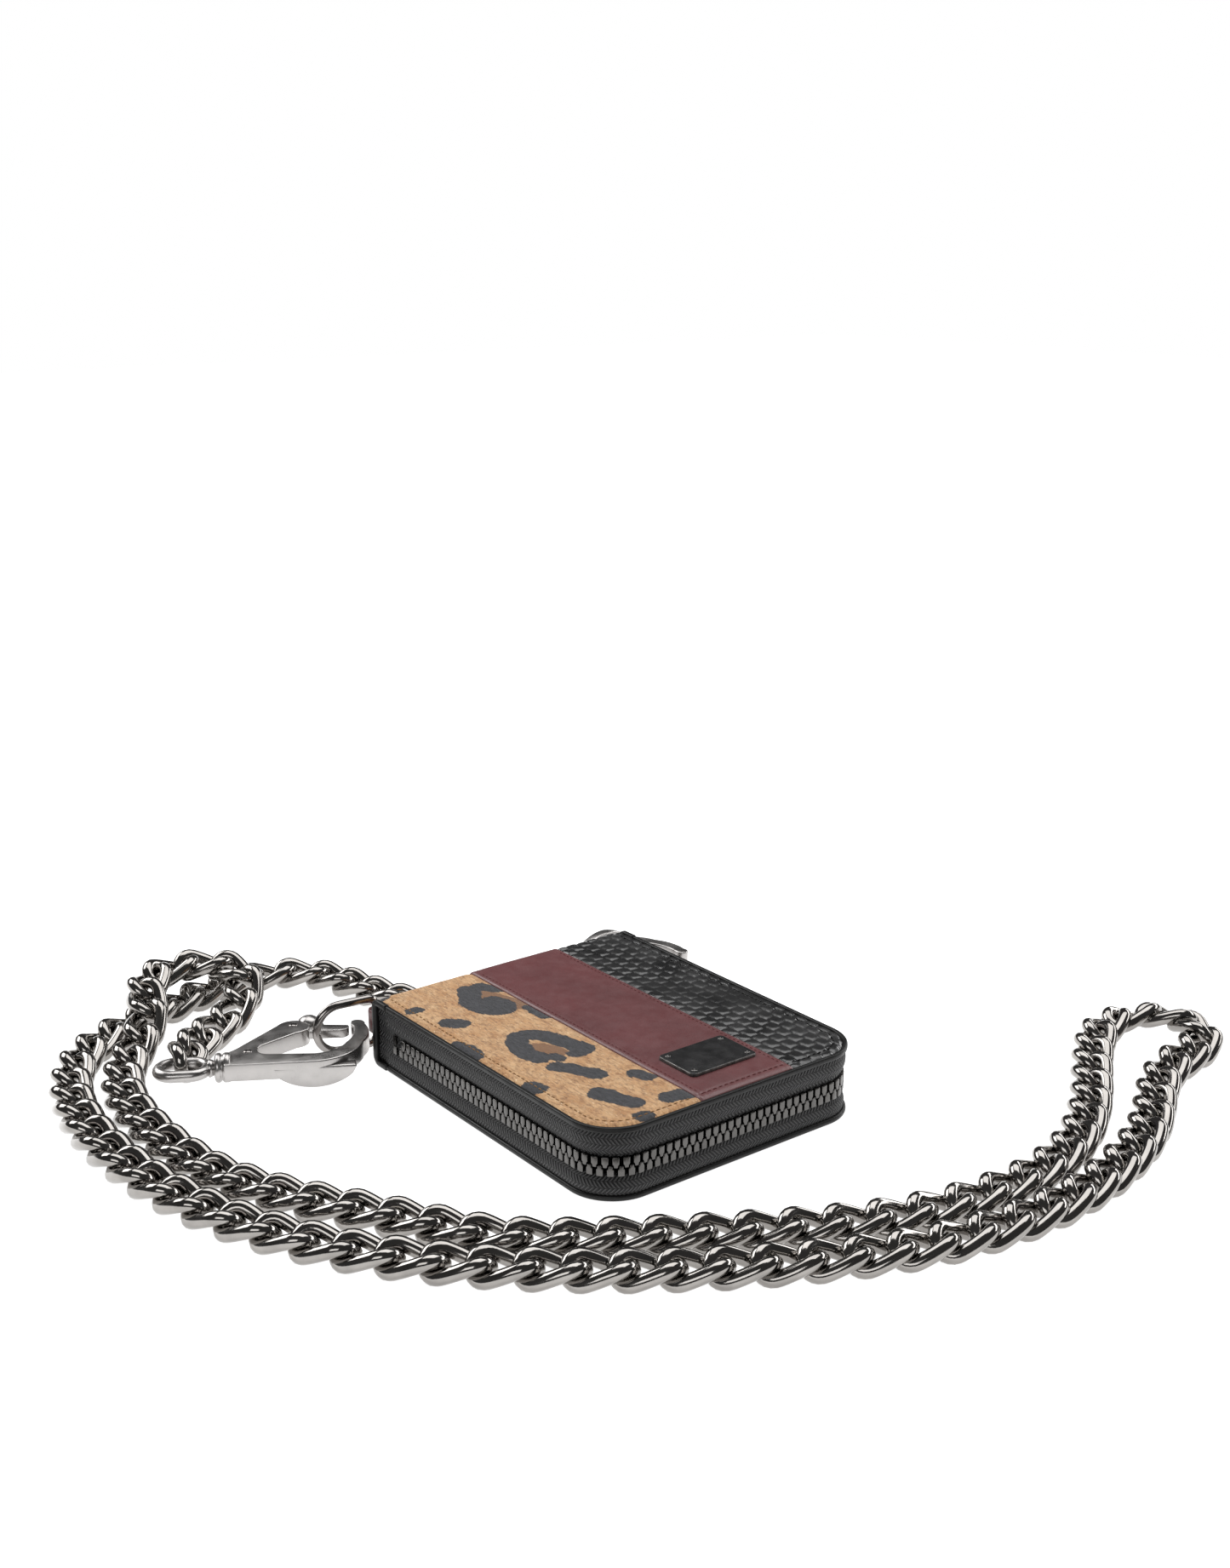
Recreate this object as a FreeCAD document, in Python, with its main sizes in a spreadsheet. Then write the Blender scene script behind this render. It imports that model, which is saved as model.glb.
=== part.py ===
"""Zip-around chain wallet with a curb chain and two swivel clasps.

Frame: origin at the centre of the wallet's underside, +X from the spine towards the opening
edge, +Y along the spine, +Z up.  Millimetres.
"""
import FreeCAD, Part
import Sketcher
import math
import os
from FreeCAD import Placement, Rotation, Vector

os.makedirs("parts", exist_ok=True)
doc = FreeCAD.newDocument("chain_wallet")

# ---------------------------------------------------------------- driving dimensions
DIMENSIONS = [
    ("WalletLength", 120.0),
    ("WalletDepth", 100.0),
    ("WalletHeight", 22.0),
    ("CornerRadius", 15.0),
    ("SkinThickness", 1.4),
    ("BoardThickness", 1.0),
    ("LiningThickness", 0.7),
    ("EdgeBindingWidth", 1.6),
    ("EdgeBindingProud", 0.3),
    ("LeopardSeam", -13.5),
    ("BurgundySeam", 21.0),
    ("PanelGap", 0.1),
    ("SpineWidth", 8.0),
    ("SideInset", 1.8),
    ("TapeThickness", 0.8),
    ("ZipCentreHeight", 10.0),
    ("ToothPitch", 2.8),
    ("ToothWidth", 1.15),
    ("ToothHeight", 3.4),
    ("ToothOverlap", 1.6),
    ("ToothDepth", 2.0),
    ("CardSlotThickness", 0.8),
    ("CardSlotStep", 12.0),
    ("PocketLength", 100.3),
    ("PocketDepth", 86.0),
    ("PocketWall", 0.8),
    ("PocketHeight", 3.6),
    ("PlateLength", 16.4),
    ("PlateDepth", 24.6),
    ("PlateThickness", 1.5),
    ("RivetRadius", 0.9),
    ("RingWire", 2.6),
    ("ClaspThickness", 5.6),
    ("ClaspCollarRadius", 4.6),
    ("ClaspPinRadius", 1.1),
    ("EyeWire", 3.6),
    ("LinkWire", 2.9),
    ("LinkWidth", 13.2),
    ("LinkPitch", 12.0),
]
sheet = doc.addObject("Spreadsheet::Sheet", "Sheet")
for row, (alias, value) in enumerate(DIMENSIONS, start=1):
    sheet.set("A%d" % row, alias)
    sheet.set("B%d" % row, str(value))
    sheet.setAlias("B%d" % row, alias)
doc.recompute()


def cell(alias):
    """The number in a spreadsheet cell, for shapes made in code."""
    return float(sheet.get(alias))


nodes = []


def keep(item, label):
    """Registers a finished sub-part under its node name."""
    item.Label = label
    nodes.append(item)
    return item


# ---------------------------------------------------------------- helpers: flat parts
RECT_SIDES = ("west", "east", "south", "north")


def rectangle_sketch(body, name, rect, height):
    """A rectangle on the body's XY plane, raised to height; rect is west, east, south, north."""
    plane = [f for f in body.Origin.OriginFeatures if f.Role == "XY_Plane"][0]
    sketch = body.newObject("Sketcher::SketchObject", name)
    sketch.AttachmentSupport = [(plane, "")]
    sketch.MapMode = "FlatFace"
    sketch.setExpression("AttachmentOffset.Base.z", height)
    corners = [Vector(0, 0, 0), Vector(10, 0, 0), Vector(10, 10, 0), Vector(0, 10, 0)]
    for i in range(4):
        sketch.addGeometry(Part.LineSegment(corners[i], corners[(i + 1) % 4]), False)
    for i in range(4):
        sketch.addConstraint(Sketcher.Constraint("Coincident", i, 2, (i + 1) % 4, 1))
    for i in (0, 2):
        sketch.addConstraint(Sketcher.Constraint("Horizontal", i))
    for i in (1, 3):
        sketch.addConstraint(Sketcher.Constraint("Vertical", i))
    places = (("DistanceX", 0, 1), ("DistanceX", 0, 2), ("DistanceY", 0, 1), ("DistanceY", 2, 1))
    starts = (-50.0, 50.0, -40.0, 40.0)
    for side, (kind, line, point), start in zip(rect, places, starts):
        index = sketch.addConstraint(Sketcher.Constraint(kind, -1, 1, line, point, start))
        sketch.setExpression("Constraints[%d]" % index, side)
    return sketch


def fillet_corners(body, feature, name, corners, radius):
    """Rounds the upright edges at the named corners of a rectangle sketch."""
    doc.recompute()
    sketch, wanted = corners
    south, north = sketch.Geometry[0], sketch.Geometry[2]
    places = {"SW": south.StartPoint, "SE": south.EndPoint, "NE": north.StartPoint, "NW": north.EndPoint}
    names = []
    for corner in wanted.split():
        x, y = places[corner].x, places[corner].y
        best = None
        for i, edge in enumerate(feature.Shape.Edges, start=1):
            if not isinstance(edge.Curve, (Part.Line, Part.LineSegment)):
                continue
            a, b = edge.Vertexes[0].Point, edge.Vertexes[-1].Point
            if abs(a.z - b.z) < 0.05 or math.hypot(a.x - b.x, a.y - b.y) > 1e-6:
                continue
            distance = math.hypot(a.x - x, a.y - y)
            if best is None or distance < best[0]:
                best = (distance, i)
        names.append("Edge%d" % best[1])
    fillet = body.newObject("PartDesign::Fillet", name)
    fillet.Base = (feature, names)
    fillet.setExpression("Radius", radius)
    doc.recompute()
    return fillet


def slab(label, rect, height, thickness, corners="", radius="Sheet.CornerRadius", cut=None,
         cut_corners="", cut_radius=None):
    """A flat PartDesign plate; cut is a rectangle pocketed right through it."""
    body = doc.addObject("PartDesign::Body", label)
    outline = rectangle_sketch(body, label + "_outline", rect, height)
    pad = body.newObject("PartDesign::Pad", label + "_pad")
    pad.Profile = outline
    pad.setExpression("Length", thickness)
    last = pad
    if cut:
        doc.recompute()
        full = last.Shape.Volume
        cut_outline = rectangle_sketch(body, label + "_cut_outline", cut, height)
        pocket = body.newObject("PartDesign::Pocket", label + "_cut")
        pocket.Profile = cut_outline
        pocket.Type = "ThroughAll"
        pocket.Midplane = True
        doc.recompute()
        if not pocket.Shape.Volume < full:
            raise RuntimeError(label + ": the pocket cut nothing")
        last = pocket
    if cut_corners:
        last = fillet_corners(body, last, label + "_cut_corners", (cut_outline, cut_corners), cut_radius)
    if corners:
        last = fillet_corners(body, last, label + "_corners", (outline, corners), radius)
    body.Tip = last
    doc.recompute()
    return keep(body, label)


HALF_X = cell("WalletLength") / 2
HALF_Y = cell("WalletDepth") / 2
SPINE_EDGE = -HALF_X + cell("SpineWidth")
OPEN_CORNERS = "SE NE"

SPINE = "-Sheet.WalletLength/2 + Sheet.SpineWidth"
EAST = "Sheet.WalletLength/2"
SOUTH = "-Sheet.WalletDepth/2"
NORTH = "Sheet.WalletDepth/2"


def inset(by):
    """The cover's outline moved in by an expression, still reaching the spine."""
    return (SPINE, "%s - (%s)" % (EAST, by), "%s + (%s)" % (SOUTH, by), "%s - (%s)" % (NORTH, by))


# ---------------------------------------------------------------- covers
TOP = "Sheet.WalletHeight"
BIND = "Sheet.EdgeBindingWidth"
BINDING_RADIUS = "Sheet.CornerRadius - Sheet.EdgeBindingWidth"

slab("lower_cover", inset(BIND), "0", "Sheet.SkinThickness", OPEN_CORNERS, BINDING_RADIUS)
slab("lower_board", inset("Sheet.EdgeBindingWidth + 1"), "Sheet.SkinThickness",
     "Sheet.BoardThickness", OPEN_CORNERS, "Sheet.CornerRadius - Sheet.EdgeBindingWidth - 1")
slab("lower_lining", inset("Sheet.EdgeBindingWidth + 1"), "Sheet.SkinThickness + Sheet.BoardThickness",
     "Sheet.LiningThickness", OPEN_CORNERS, "Sheet.CornerRadius - Sheet.EdgeBindingWidth - 1")
SKIN_BASE = "Sheet.WalletHeight - Sheet.SkinThickness"
slab("upper_board", inset("Sheet.EdgeBindingWidth + 1"),
     "Sheet.WalletHeight - Sheet.SkinThickness - Sheet.BoardThickness",
     "Sheet.BoardThickness", OPEN_CORNERS, "Sheet.CornerRadius - Sheet.EdgeBindingWidth - 1")
slab("upper_lining", inset("Sheet.EdgeBindingWidth + 1"),
     "Sheet.WalletHeight - Sheet.SkinThickness - Sheet.BoardThickness - Sheet.LiningThickness",
     "Sheet.LiningThickness", OPEN_CORNERS, "Sheet.CornerRadius - Sheet.EdgeBindingWidth - 1")

# The three stripes of the front cover run along X, from the spine to the opening edge.
STRIPES = (
    ("leopard_panel", "%s + %s" % (SOUTH, BIND), "Sheet.LeopardSeam - Sheet.PanelGap",
     "SE"),
    ("burgundy_panel", "Sheet.LeopardSeam + Sheet.PanelGap", "Sheet.BurgundySeam - Sheet.PanelGap", ""),
    ("black_panel", "Sheet.BurgundySeam + Sheet.PanelGap", "%s - %s" % (NORTH, BIND),
     "NE"),
)
for stripe, south, north, corners in STRIPES:
    slab(stripe, (SPINE, "%s - %s" % (EAST, BIND), south, north), SKIN_BASE,
         "Sheet.SkinThickness", corners, BINDING_RADIUS)


def binding(label, height):
    """The painted edge binding: a U round the cover's three open sides."""
    return slab(label, (SPINE, EAST, SOUTH, NORTH), height,
                "Sheet.SkinThickness + Sheet.BoardThickness", OPEN_CORNERS, "Sheet.CornerRadius",
                (SPINE + " - 10", "%s - %s + 0.05" % (EAST, BIND), "%s + %s - 0.05" % (SOUTH, BIND),
                 "%s - %s + 0.05" % (NORTH, BIND)),
                OPEN_CORNERS, BINDING_RADIUS)


binding("lower_edge_binding", "0")
binding("upper_edge_binding", "Sheet.WalletHeight - Sheet.SkinThickness - Sheet.BoardThickness")

# The spine: one leather strip from the lower cover round to the upper one.
spine_profile = doc.addObject("Part::Box", "spine_block")
spine_profile.setExpression("Length", "Sheet.SpineWidth - 0.2")
spine_profile.setExpression("Width", "Sheet.WalletDepth - 1")
spine_profile.setExpression("Height", "Sheet.WalletHeight")
spine_profile.setExpression("Placement.Base.x", "-Sheet.WalletLength/2")
spine_profile.setExpression("Placement.Base.y", "-(Sheet.WalletDepth - 1)/2")
spine_hollow = doc.addObject("Part::Box", "spine_hollow")
spine_hollow.setExpression("Length", "Sheet.SpineWidth")
spine_hollow.setExpression("Width", "Sheet.WalletDepth + 2")
spine_hollow.setExpression("Height", "Sheet.WalletHeight - 2*Sheet.SkinThickness")
spine_hollow.setExpression("Placement.Base.x", "-Sheet.WalletLength/2 + Sheet.SkinThickness")
spine_hollow.setExpression("Placement.Base.y", "-Sheet.WalletDepth/2 - 1")
spine_hollow.setExpression("Placement.Base.z", "Sheet.SkinThickness")
spine_cut = doc.addObject("Part::Cut", "spine_cut")
spine_cut.Base = spine_profile
spine_cut.Tool = spine_hollow
doc.recompute()
spine = doc.addObject("Part::Fillet", "spine_rounding")
spine.Base = spine_cut
rounded = []
for i, edge in enumerate(spine_cut.Shape.Edges, start=1):
    ends = [v.Point for v in edge.Vertexes]
    along_y = abs(ends[0].y - ends[-1].y) > 50
    if along_y and all(abs(p.x + HALF_X) < 0.01 for p in ends):
        rounded.append((i, 3.0, 3.0))
spine.Edges = rounded
doc.recompute()
keep(spine, "spine_leather")

# ---------------------------------------------------------------- zip round three sides
BOARD_TOP = "Sheet.SkinThickness + Sheet.BoardThickness"
TAPE_OUT = "Sheet.SideInset"
TAPE_IN = "Sheet.SideInset + Sheet.TapeThickness"
ZIP_START = -46.0
GAP_FROM_TEETH = "(Sheet.ToothHeight - Sheet.ToothOverlap/2 + 0.1)"


def zip_tape(label, height, width):
    outer = (str(ZIP_START - 6), "%s - %s" % (EAST, TAPE_OUT), "%s + %s" % (SOUTH, TAPE_OUT),
             "%s - %s" % (NORTH, TAPE_OUT))
    inner = (str(ZIP_START - 20), "%s - (%s) + 0.05" % (EAST, TAPE_IN),
             "%s + (%s) - 0.05" % (SOUTH, TAPE_IN), "%s - (%s) + 0.05" % (NORTH, TAPE_IN))
    return slab(label, outer, height, width, OPEN_CORNERS, "Sheet.CornerRadius - Sheet.SideInset",
                inner, OPEN_CORNERS, "Sheet.CornerRadius - Sheet.SideInset - Sheet.TapeThickness")


zip_tape("zip_tape_lower", BOARD_TOP, "Sheet.ZipCentreHeight - %s - (%s)" % (GAP_FROM_TEETH, BOARD_TOP))
zip_tape("zip_tape_upper", "Sheet.ZipCentreHeight + %s" % GAP_FROM_TEETH,
         "Sheet.WalletHeight - Sheet.SkinThickness - Sheet.BoardThickness"
         " - Sheet.ZipCentreHeight - %s" % GAP_FROM_TEETH)


def zip_path_point(distance):
    """A place and heading on the zip's line, from the near spine corner round to the far one."""
    offset = cell("SideInset") + cell("TapeThickness") / 2
    radius = cell("CornerRadius") - offset
    x_side, y_side = HALF_X - offset, HALF_Y - offset
    straight_x = x_side - radius - ZIP_START
    straight_y = 2 * (y_side - radius)
    corner = radius * math.pi / 2
    if distance < straight_x:
        return Vector(ZIP_START + distance, -y_side, 0), 0.0
    distance -= straight_x
    if distance < corner:
        turn = distance / radius
        centre = Vector(x_side - radius, -y_side + radius, 0)
        return centre + Vector(math.sin(turn), -math.cos(turn), 0) * radius, math.degrees(turn)
    distance -= corner
    if distance < straight_y:
        return Vector(x_side, -y_side + radius + distance, 0), 90.0
    distance -= straight_y
    if distance < corner:
        turn = distance / radius
        centre = Vector(x_side - radius, y_side - radius, 0)
        return centre + Vector(math.cos(turn), math.sin(turn), 0) * radius, 90 + math.degrees(turn)
    distance -= corner
    return Vector(x_side - radius - distance, y_side, 0), 180.0


def zip_path_length():
    offset = cell("SideInset") + cell("TapeThickness") / 2
    radius = cell("CornerRadius") - offset
    x_side, y_side = HALF_X - offset, HALF_Y - offset
    return 2 * (x_side - radius - ZIP_START) + 2 * (y_side - radius) + math.pi * radius


def tooth_row(label, side):
    """One row of moulded teeth; side is -1 for the lower row and 1 for the upper."""
    pitch, width, depth = cell("ToothPitch"), cell("ToothWidth"), cell("ToothDepth")
    height, overlap = cell("ToothHeight"), cell("ToothOverlap")
    centre = cell("ZipCentreHeight") + side * (height - overlap) / 2
    count = int((zip_path_length() - pitch) / pitch)
    block = Part.makeBox(width, depth, height, Vector(-width / 2, -depth / 2, -height / 2))
    block = block.makeChamfer(0.25, [e for e in block.Edges if abs(e.tangentAt(e.FirstParameter).y) > 0.9])
    teeth = []
    for i in range(count):
        place, heading = zip_path_point(pitch * (i + 0.5 + (0.5 if side > 0 else 0.0)))
        tooth = block.copy()
        tooth.Placement = Placement(place + Vector(0, 0, centre), Rotation(Vector(0, 0, 1), heading))
        teeth.append(tooth)
    row = doc.addObject("Part::Feature", label)
    row.Shape = Part.makeCompound(teeth)
    return keep(row, label)


tooth_row("zip_teeth_lower", -1)
tooth_row("zip_teeth_upper", 1)


def box_part(label, low, high):
    """A Part::Box between two corners given as expressions."""
    box = doc.addObject("Part::Box", label)
    for size, axis, a, b in zip(("Length", "Width", "Height"), "xyz", low, high):
        box.setExpression(size, "(%s) - (%s)" % (b, a))
        box.setExpression("Placement.Base." + axis, a)
    doc.recompute()
    return box


# Stops at both ends of the zip, one on each tape.
for label, low_z in (("zip_stop_lower", "Sheet.ZipCentreHeight - 3"), ("zip_stop_upper", "Sheet.ZipCentreHeight + 0.4")):
    near = box_part(label + "_near", (str(ZIP_START - 3.2), "%s + Sheet.SideInset - 0.6" % SOUTH, low_z),
                    (str(ZIP_START - 1.4), "%s + Sheet.SideInset - 0.05" % SOUTH, low_z + " + 2.6"))
    far = box_part(label + "_far", (str(ZIP_START - 3.2), "%s - Sheet.SideInset + 0.05" % NORTH, low_z),
                   (str(ZIP_START - 1.4), "%s - Sheet.SideInset + 0.6" % NORTH, low_z + " + 2.6"))
    pair = doc.addObject("Part::Feature", label)
    pair.Shape = Part.makeCompound([near.Shape, far.Shape])
    keep(pair, label)

# ---------------------------------------------------------------- slider and pull on the far side
SLIDER_X = -38.0
SLIDER_LENGTH = 9.0
SLIDER_HEIGHT = 8.4
zip_y = HALF_Y - cell("SideInset") - cell("TapeThickness") / 2
face_y = zip_y + cell("ToothDepth") / 2 + 0.25
mid_z = cell("ZipCentreHeight")


def rounded_block(size, centre, radius, axis):
    """A block with the four edges along one axis rounded."""
    low = centre - size * 0.5
    block = Part.makeBox(size.x, size.y, size.z, low)
    pick = [e for e in block.Edges if abs(e.tangentAt(e.FirstParameter).dot(axis)) > 0.9]
    return block.makeFillet(radius, pick)


outer_plate = rounded_block(Vector(SLIDER_LENGTH, 1.3, SLIDER_HEIGHT), Vector(SLIDER_X, face_y + 0.65, mid_z),
                            1.8, Vector(0, 1, 0))
bridge_outer = rounded_block(Vector(5.6, 3.0, 2.4), Vector(SLIDER_X, face_y + 1.3 + 1.45, mid_z), 1.1,
                             Vector(0, 0, 1))
bridge_hole = Part.makeBox(3.4, 1.9, 4.0, Vector(SLIDER_X - 1.7, face_y + 1.3, mid_z - 2.0))
slider = doc.addObject("Part::Feature", "zip_slider")
slider.Shape = outer_plate.fuse(bridge_outer.cut(bridge_hole)).removeSplitter()
keep(slider, "zip_slider")

back_plate = rounded_block(Vector(SLIDER_LENGTH - 1, 1.0, SLIDER_HEIGHT - 1),
                           Vector(SLIDER_X, zip_y - cell("ToothDepth") / 2 - 0.25 - 0.5, mid_z), 1.6,
                           Vector(0, 1, 0))
slider_back = doc.addObject("Part::Feature", "zip_slider_back")
slider_back.Shape = back_plate
keep(slider_back, "zip_slider_back")

# The pull hangs in the bridge and lies back along the closed zip.
pull_pivot = Vector(SLIDER_X, face_y + 1.3 + 0.95, mid_z)
PULL_WIRE = 1.3
pull_ring = Part.makeTorus(3.3, PULL_WIRE / 2, Vector(0, 0, 0), Vector(0, 1, 0))
pull_ring.translate(pull_pivot + Vector(3.3, 0, 0))
pull_tab = rounded_block(Vector(20, 1.4, 6.4), pull_pivot + Vector(6.9 + 10, 0, 0), 2.4, Vector(0, 1, 0))
pull = doc.addObject("Part::Feature", "zip_pull")
pull.Shape = pull_ring.fuse(pull_tab).removeSplitter()
keep(pull, "zip_pull")

# ---------------------------------------------------------------- inside: card slots, coin pocket
LOW_FLOOR = "Sheet.SkinThickness + Sheet.BoardThickness + Sheet.LiningThickness"
HIGH_ROOF = "Sheet.WalletHeight - (%s)" % LOW_FLOOR
CARD_SLOTS = 4


def card_slots(label, sign):
    """Stepped card pockets sewn on a lining; each is shorter than the one under it."""
    layers = []
    for i in range(CARD_SLOTS):
        layer = cell("CardSlotThickness")
        west = -34 + i * cell("CardSlotStep")
        rise = 0.1 + i * (layer + 0.1)
        floor = cell("SkinThickness") + cell("BoardThickness") + cell("LiningThickness")
        low = floor + rise if sign < 0 else cell("WalletHeight") - floor - rise - layer
        layers.append(Part.makeBox(52 - west, 88, layer, Vector(west, -44, low)))
    cards = doc.addObject("Part::Feature", label)
    cards.Shape = Part.makeCompound(layers)
    return keep(cards, label)


card_slots("lower_card_slots", -1)
card_slots("upper_card_slots", 1)

POCKET_WEST = "-58.3"
POCKET_FLOOR = "7.2"
POCKET_ROOF = "%s + Sheet.PocketHeight + Sheet.PocketWall" % POCKET_FLOOR


def pocket_rect(trim):
    return (POCKET_WEST, "%s + Sheet.PocketLength - %s" % (POCKET_WEST, trim), "-Sheet.PocketDepth/2",
            "Sheet.PocketDepth/2")


slab("coin_pocket_back", pocket_rect("0"), POCKET_FLOOR, "Sheet.PocketWall")
slab("coin_pocket_front", pocket_rect("6"), POCKET_ROOF, "Sheet.PocketWall")
# The gusset is a U of folded lining between the two walls, open towards +X.
slab("coin_pocket_gusset", pocket_rect("6"), POCKET_FLOOR + " + Sheet.PocketWall + 0.05",
     "Sheet.PocketHeight - 0.1", "", None,
     (POCKET_WEST + " + 1.2", "90", "-Sheet.PocketDepth/2 + 1.2", "Sheet.PocketDepth/2 - 1.2"))
COIN_ZIP_X = -58.3 + cell("PocketLength") - 3
COIN_ZIP_Z = 7.2 + cell("PocketHeight") + cell("PocketWall")
slab("coin_zip_tape", ("%s - 3" % COIN_ZIP_X, "%s + 3" % COIN_ZIP_X, "-Sheet.PocketDepth/2 + 1",
                       "Sheet.PocketDepth/2 - 1"),
     "%s - 0.9" % COIN_ZIP_Z, "0.6")

coin_teeth = []
tooth_count = int((cell("PocketDepth") - 12) / 2.0)
for i in range(tooth_count):
    side = -1 if i % 2 else 1
    corner = Vector(COIN_ZIP_X - 1.1 + side * 0.5, -cell("PocketDepth") / 2 + 6 + 2.0 * i, COIN_ZIP_Z - 0.25)
    coin_teeth.append(Part.makeBox(2.2, 0.9, 0.7, corner))
coin_row = doc.addObject("Part::Feature", "coin_zip_teeth")
coin_row.Shape = Part.makeCompound(coin_teeth)
keep(coin_row, "coin_zip_teeth")

coin_start = -cell("PocketDepth") / 2 + 9
coin_body = rounded_block(Vector(4.6, 6.0, 0.9), Vector(COIN_ZIP_X, coin_start, COIN_ZIP_Z + 1.0), 1.4,
                          Vector(0, 0, 1))
coin_bridge = rounded_block(Vector(1.4, 3.6, 1.6), Vector(COIN_ZIP_X, coin_start, COIN_ZIP_Z + 2.0), 0.5,
                            Vector(1, 0, 0))
coin_slot = Part.makeBox(3.0, 2.2, 0.7, Vector(COIN_ZIP_X - 1.5, coin_start - 1.1, COIN_ZIP_Z + 1.6))
coin_slider = doc.addObject("Part::Feature", "coin_zip_slider")
coin_slider.Shape = coin_body.fuse(coin_bridge).cut(coin_slot).removeSplitter()
keep(coin_slider, "coin_zip_slider")

# ---------------------------------------------------------------- blank plate on the burgundy stripe
PLATE_CENTRE = (38.7, 4.9)
plate_rect = ("%s - Sheet.PlateLength/2" % PLATE_CENTRE[0], "%s + Sheet.PlateLength/2" % PLATE_CENTRE[0],
              "%s - Sheet.PlateDepth/2" % PLATE_CENTRE[1], "%s + Sheet.PlateDepth/2" % PLATE_CENTRE[1])
plate = slab("metal_plate", plate_rect, TOP + " + 0.02", "Sheet.PlateThickness - 0.02", "SW SE NE NW", "2")

plate_rivets = []
for sx in (-1, 1):
    for sy in (-1, 1):
        centre = Vector(PLATE_CENTRE[0] + sx * (cell("PlateLength") / 2 - 2.4),
                        PLATE_CENTRE[1] + sy * (cell("PlateDepth") / 2 - 2.4),
                        cell("WalletHeight") + cell("PlateThickness") + 0.01)
        radius = cell("RivetRadius")
        dome = Part.makeSphere(radius * 1.25, centre - Vector(0, 0, radius * 0.75))
        plate_rivets.append(dome.common(Part.makeCylinder(radius * 2, radius, centre)))
rivets = doc.addObject("Part::Feature", "plate_rivets")
rivets.Shape = Part.makeCompound(plate_rivets)
keep(rivets, "plate_rivets")

# ---------------------------------------------------------------- ring and its leather tab
RING_FOOT = Vector(-70.0, -42.5, 0)          # axis of the ring's straight bar
RING_HEADING = -97.0                          # where the ring points, degrees from +X
RING_LOW, RING_HIGH, RING_REACH = 1.7, 17.3, 20.6


def round_wire_loop(points, radii, wire):
    """A closed bar of round section: straight runs joined by tangent arcs at the points."""
    count, pieces, trimmed, length = len(points), [], [], 0.0
    for i in range(count):
        here = points[i]
        u, v = points[i - 1] - here, points[(i + 1) % count] - here
        u.normalize()
        v.normalize()
        turn = math.pi - u.getAngle(v)
        reach = radii[i] * math.tan(turn / 2)
        start, end = here + u * reach, here + v * reach
        trimmed.append((start, end))
        centre = here + (u + v).normalize() * (radii[i] / math.cos(turn / 2))
        disc = Part.Face(Part.Wire(Part.Circle(start, u, wire / 2).toShape()))
        pieces.append(disc.revolve(centre, v.cross(u), math.degrees(turn)))
        length += radii[i] * turn
    for i in range(count):
        run = trimmed[(i + 1) % count][0] - trimmed[i][1]
        if run.Length > 1e-4:
            disc = Part.Face(Part.Wire(Part.Circle(trimmed[i][1], run, wire / 2).toShape()))
            pieces.append(disc.extrude(run))
            length += run.Length
    solid = pieces[0].multiFuse(pieces[1:]).removeSplitter().Solids[0]
    expected = length * math.pi * wire ** 2 / 4
    if abs(solid.Volume - expected) > 0.01 * expected:
        raise RuntimeError("loop volume %.2f, expected %.2f" % (solid.Volume, expected))
    return solid


middle_z, rise = (RING_LOW + RING_HIGH) / 2, (RING_HIGH - RING_LOW) / 2
ring_points = [Vector(0, 0, RING_LOW), Vector(RING_REACH, 0, RING_LOW),
               Vector(RING_REACH, 0, RING_HIGH), Vector(0, 0, RING_HIGH)]
ring_shape = round_wire_loop(ring_points, [3.0, rise - 0.01, rise - 0.01, 3.0], cell("RingWire"))
ring = doc.addObject("Part::Feature", "wallet_ring")
ring.Shape = ring_shape
ring.Placement = Placement(RING_FOOT, Rotation(Vector(0, 0, 1), RING_HEADING))
keep(ring, "wallet_ring")

# The tab: a strap folded round the ring's bar, its two ends sewn flat against the spine.
TAB_LOW, TAB_HIGH = 5.6, 13.4
bar_gap = cell("RingWire") / 2 + 0.15
TAB_LEATHER = 1.1
tab_loop = Part.makeCylinder(bar_gap + TAB_LEATHER, TAB_HIGH - TAB_LOW, Vector(RING_FOOT.x, RING_FOOT.y, TAB_LOW))
tab_reach = -HALF_X - 0.05 - RING_FOOT.x
tab_strap = Part.makeBox(tab_reach, 2 * (bar_gap + TAB_LEATHER), TAB_HIGH - TAB_LOW,
                         Vector(RING_FOOT.x, RING_FOOT.y - bar_gap - TAB_LEATHER, TAB_LOW))
tab_bore = Part.makeCylinder(bar_gap, TAB_HIGH - TAB_LOW + 2, Vector(RING_FOOT.x, RING_FOOT.y, TAB_LOW - 1))
tab = doc.addObject("Part::Feature", "ring_tab")
tab.Shape = tab_loop.fuse(tab_strap).cut(tab_bore).removeSplitter()
keep(tab, "ring_tab")

# ---------------------------------------------------------------- swivel clasps
# Each clasp is drawn flat: x along its axis from the collar to the nose, y to its gate side.
NOSE = Vector(41.0, 25.0, 0)
GATE_PIVOT = Vector(19.7, 23.3, 0)
BODY_RIVET = Vector(6.3, 4.9, 0)
GATE_HALF = 1.4
SLOT_HALF = 1.6


def outline_face(steps):
    """A face from a start point and steps: a Vector for a line, a pair for an arc through one."""
    edges, here = [], steps[0]
    for step in steps[1:]:
        if isinstance(step, tuple):
            edges.append(Part.Arc(here, step[0], step[1]).toShape())
            here = step[1]
        else:
            edges.append(Part.LineSegment(here, step).toShape())
            here = step
    return Part.Face(Part.Wire(edges))


def flat_solid(face, low, high):
    part = face.extrude(Vector(0, 0, high - low))
    part.translate(Vector(0, 0, low))
    return part


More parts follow.
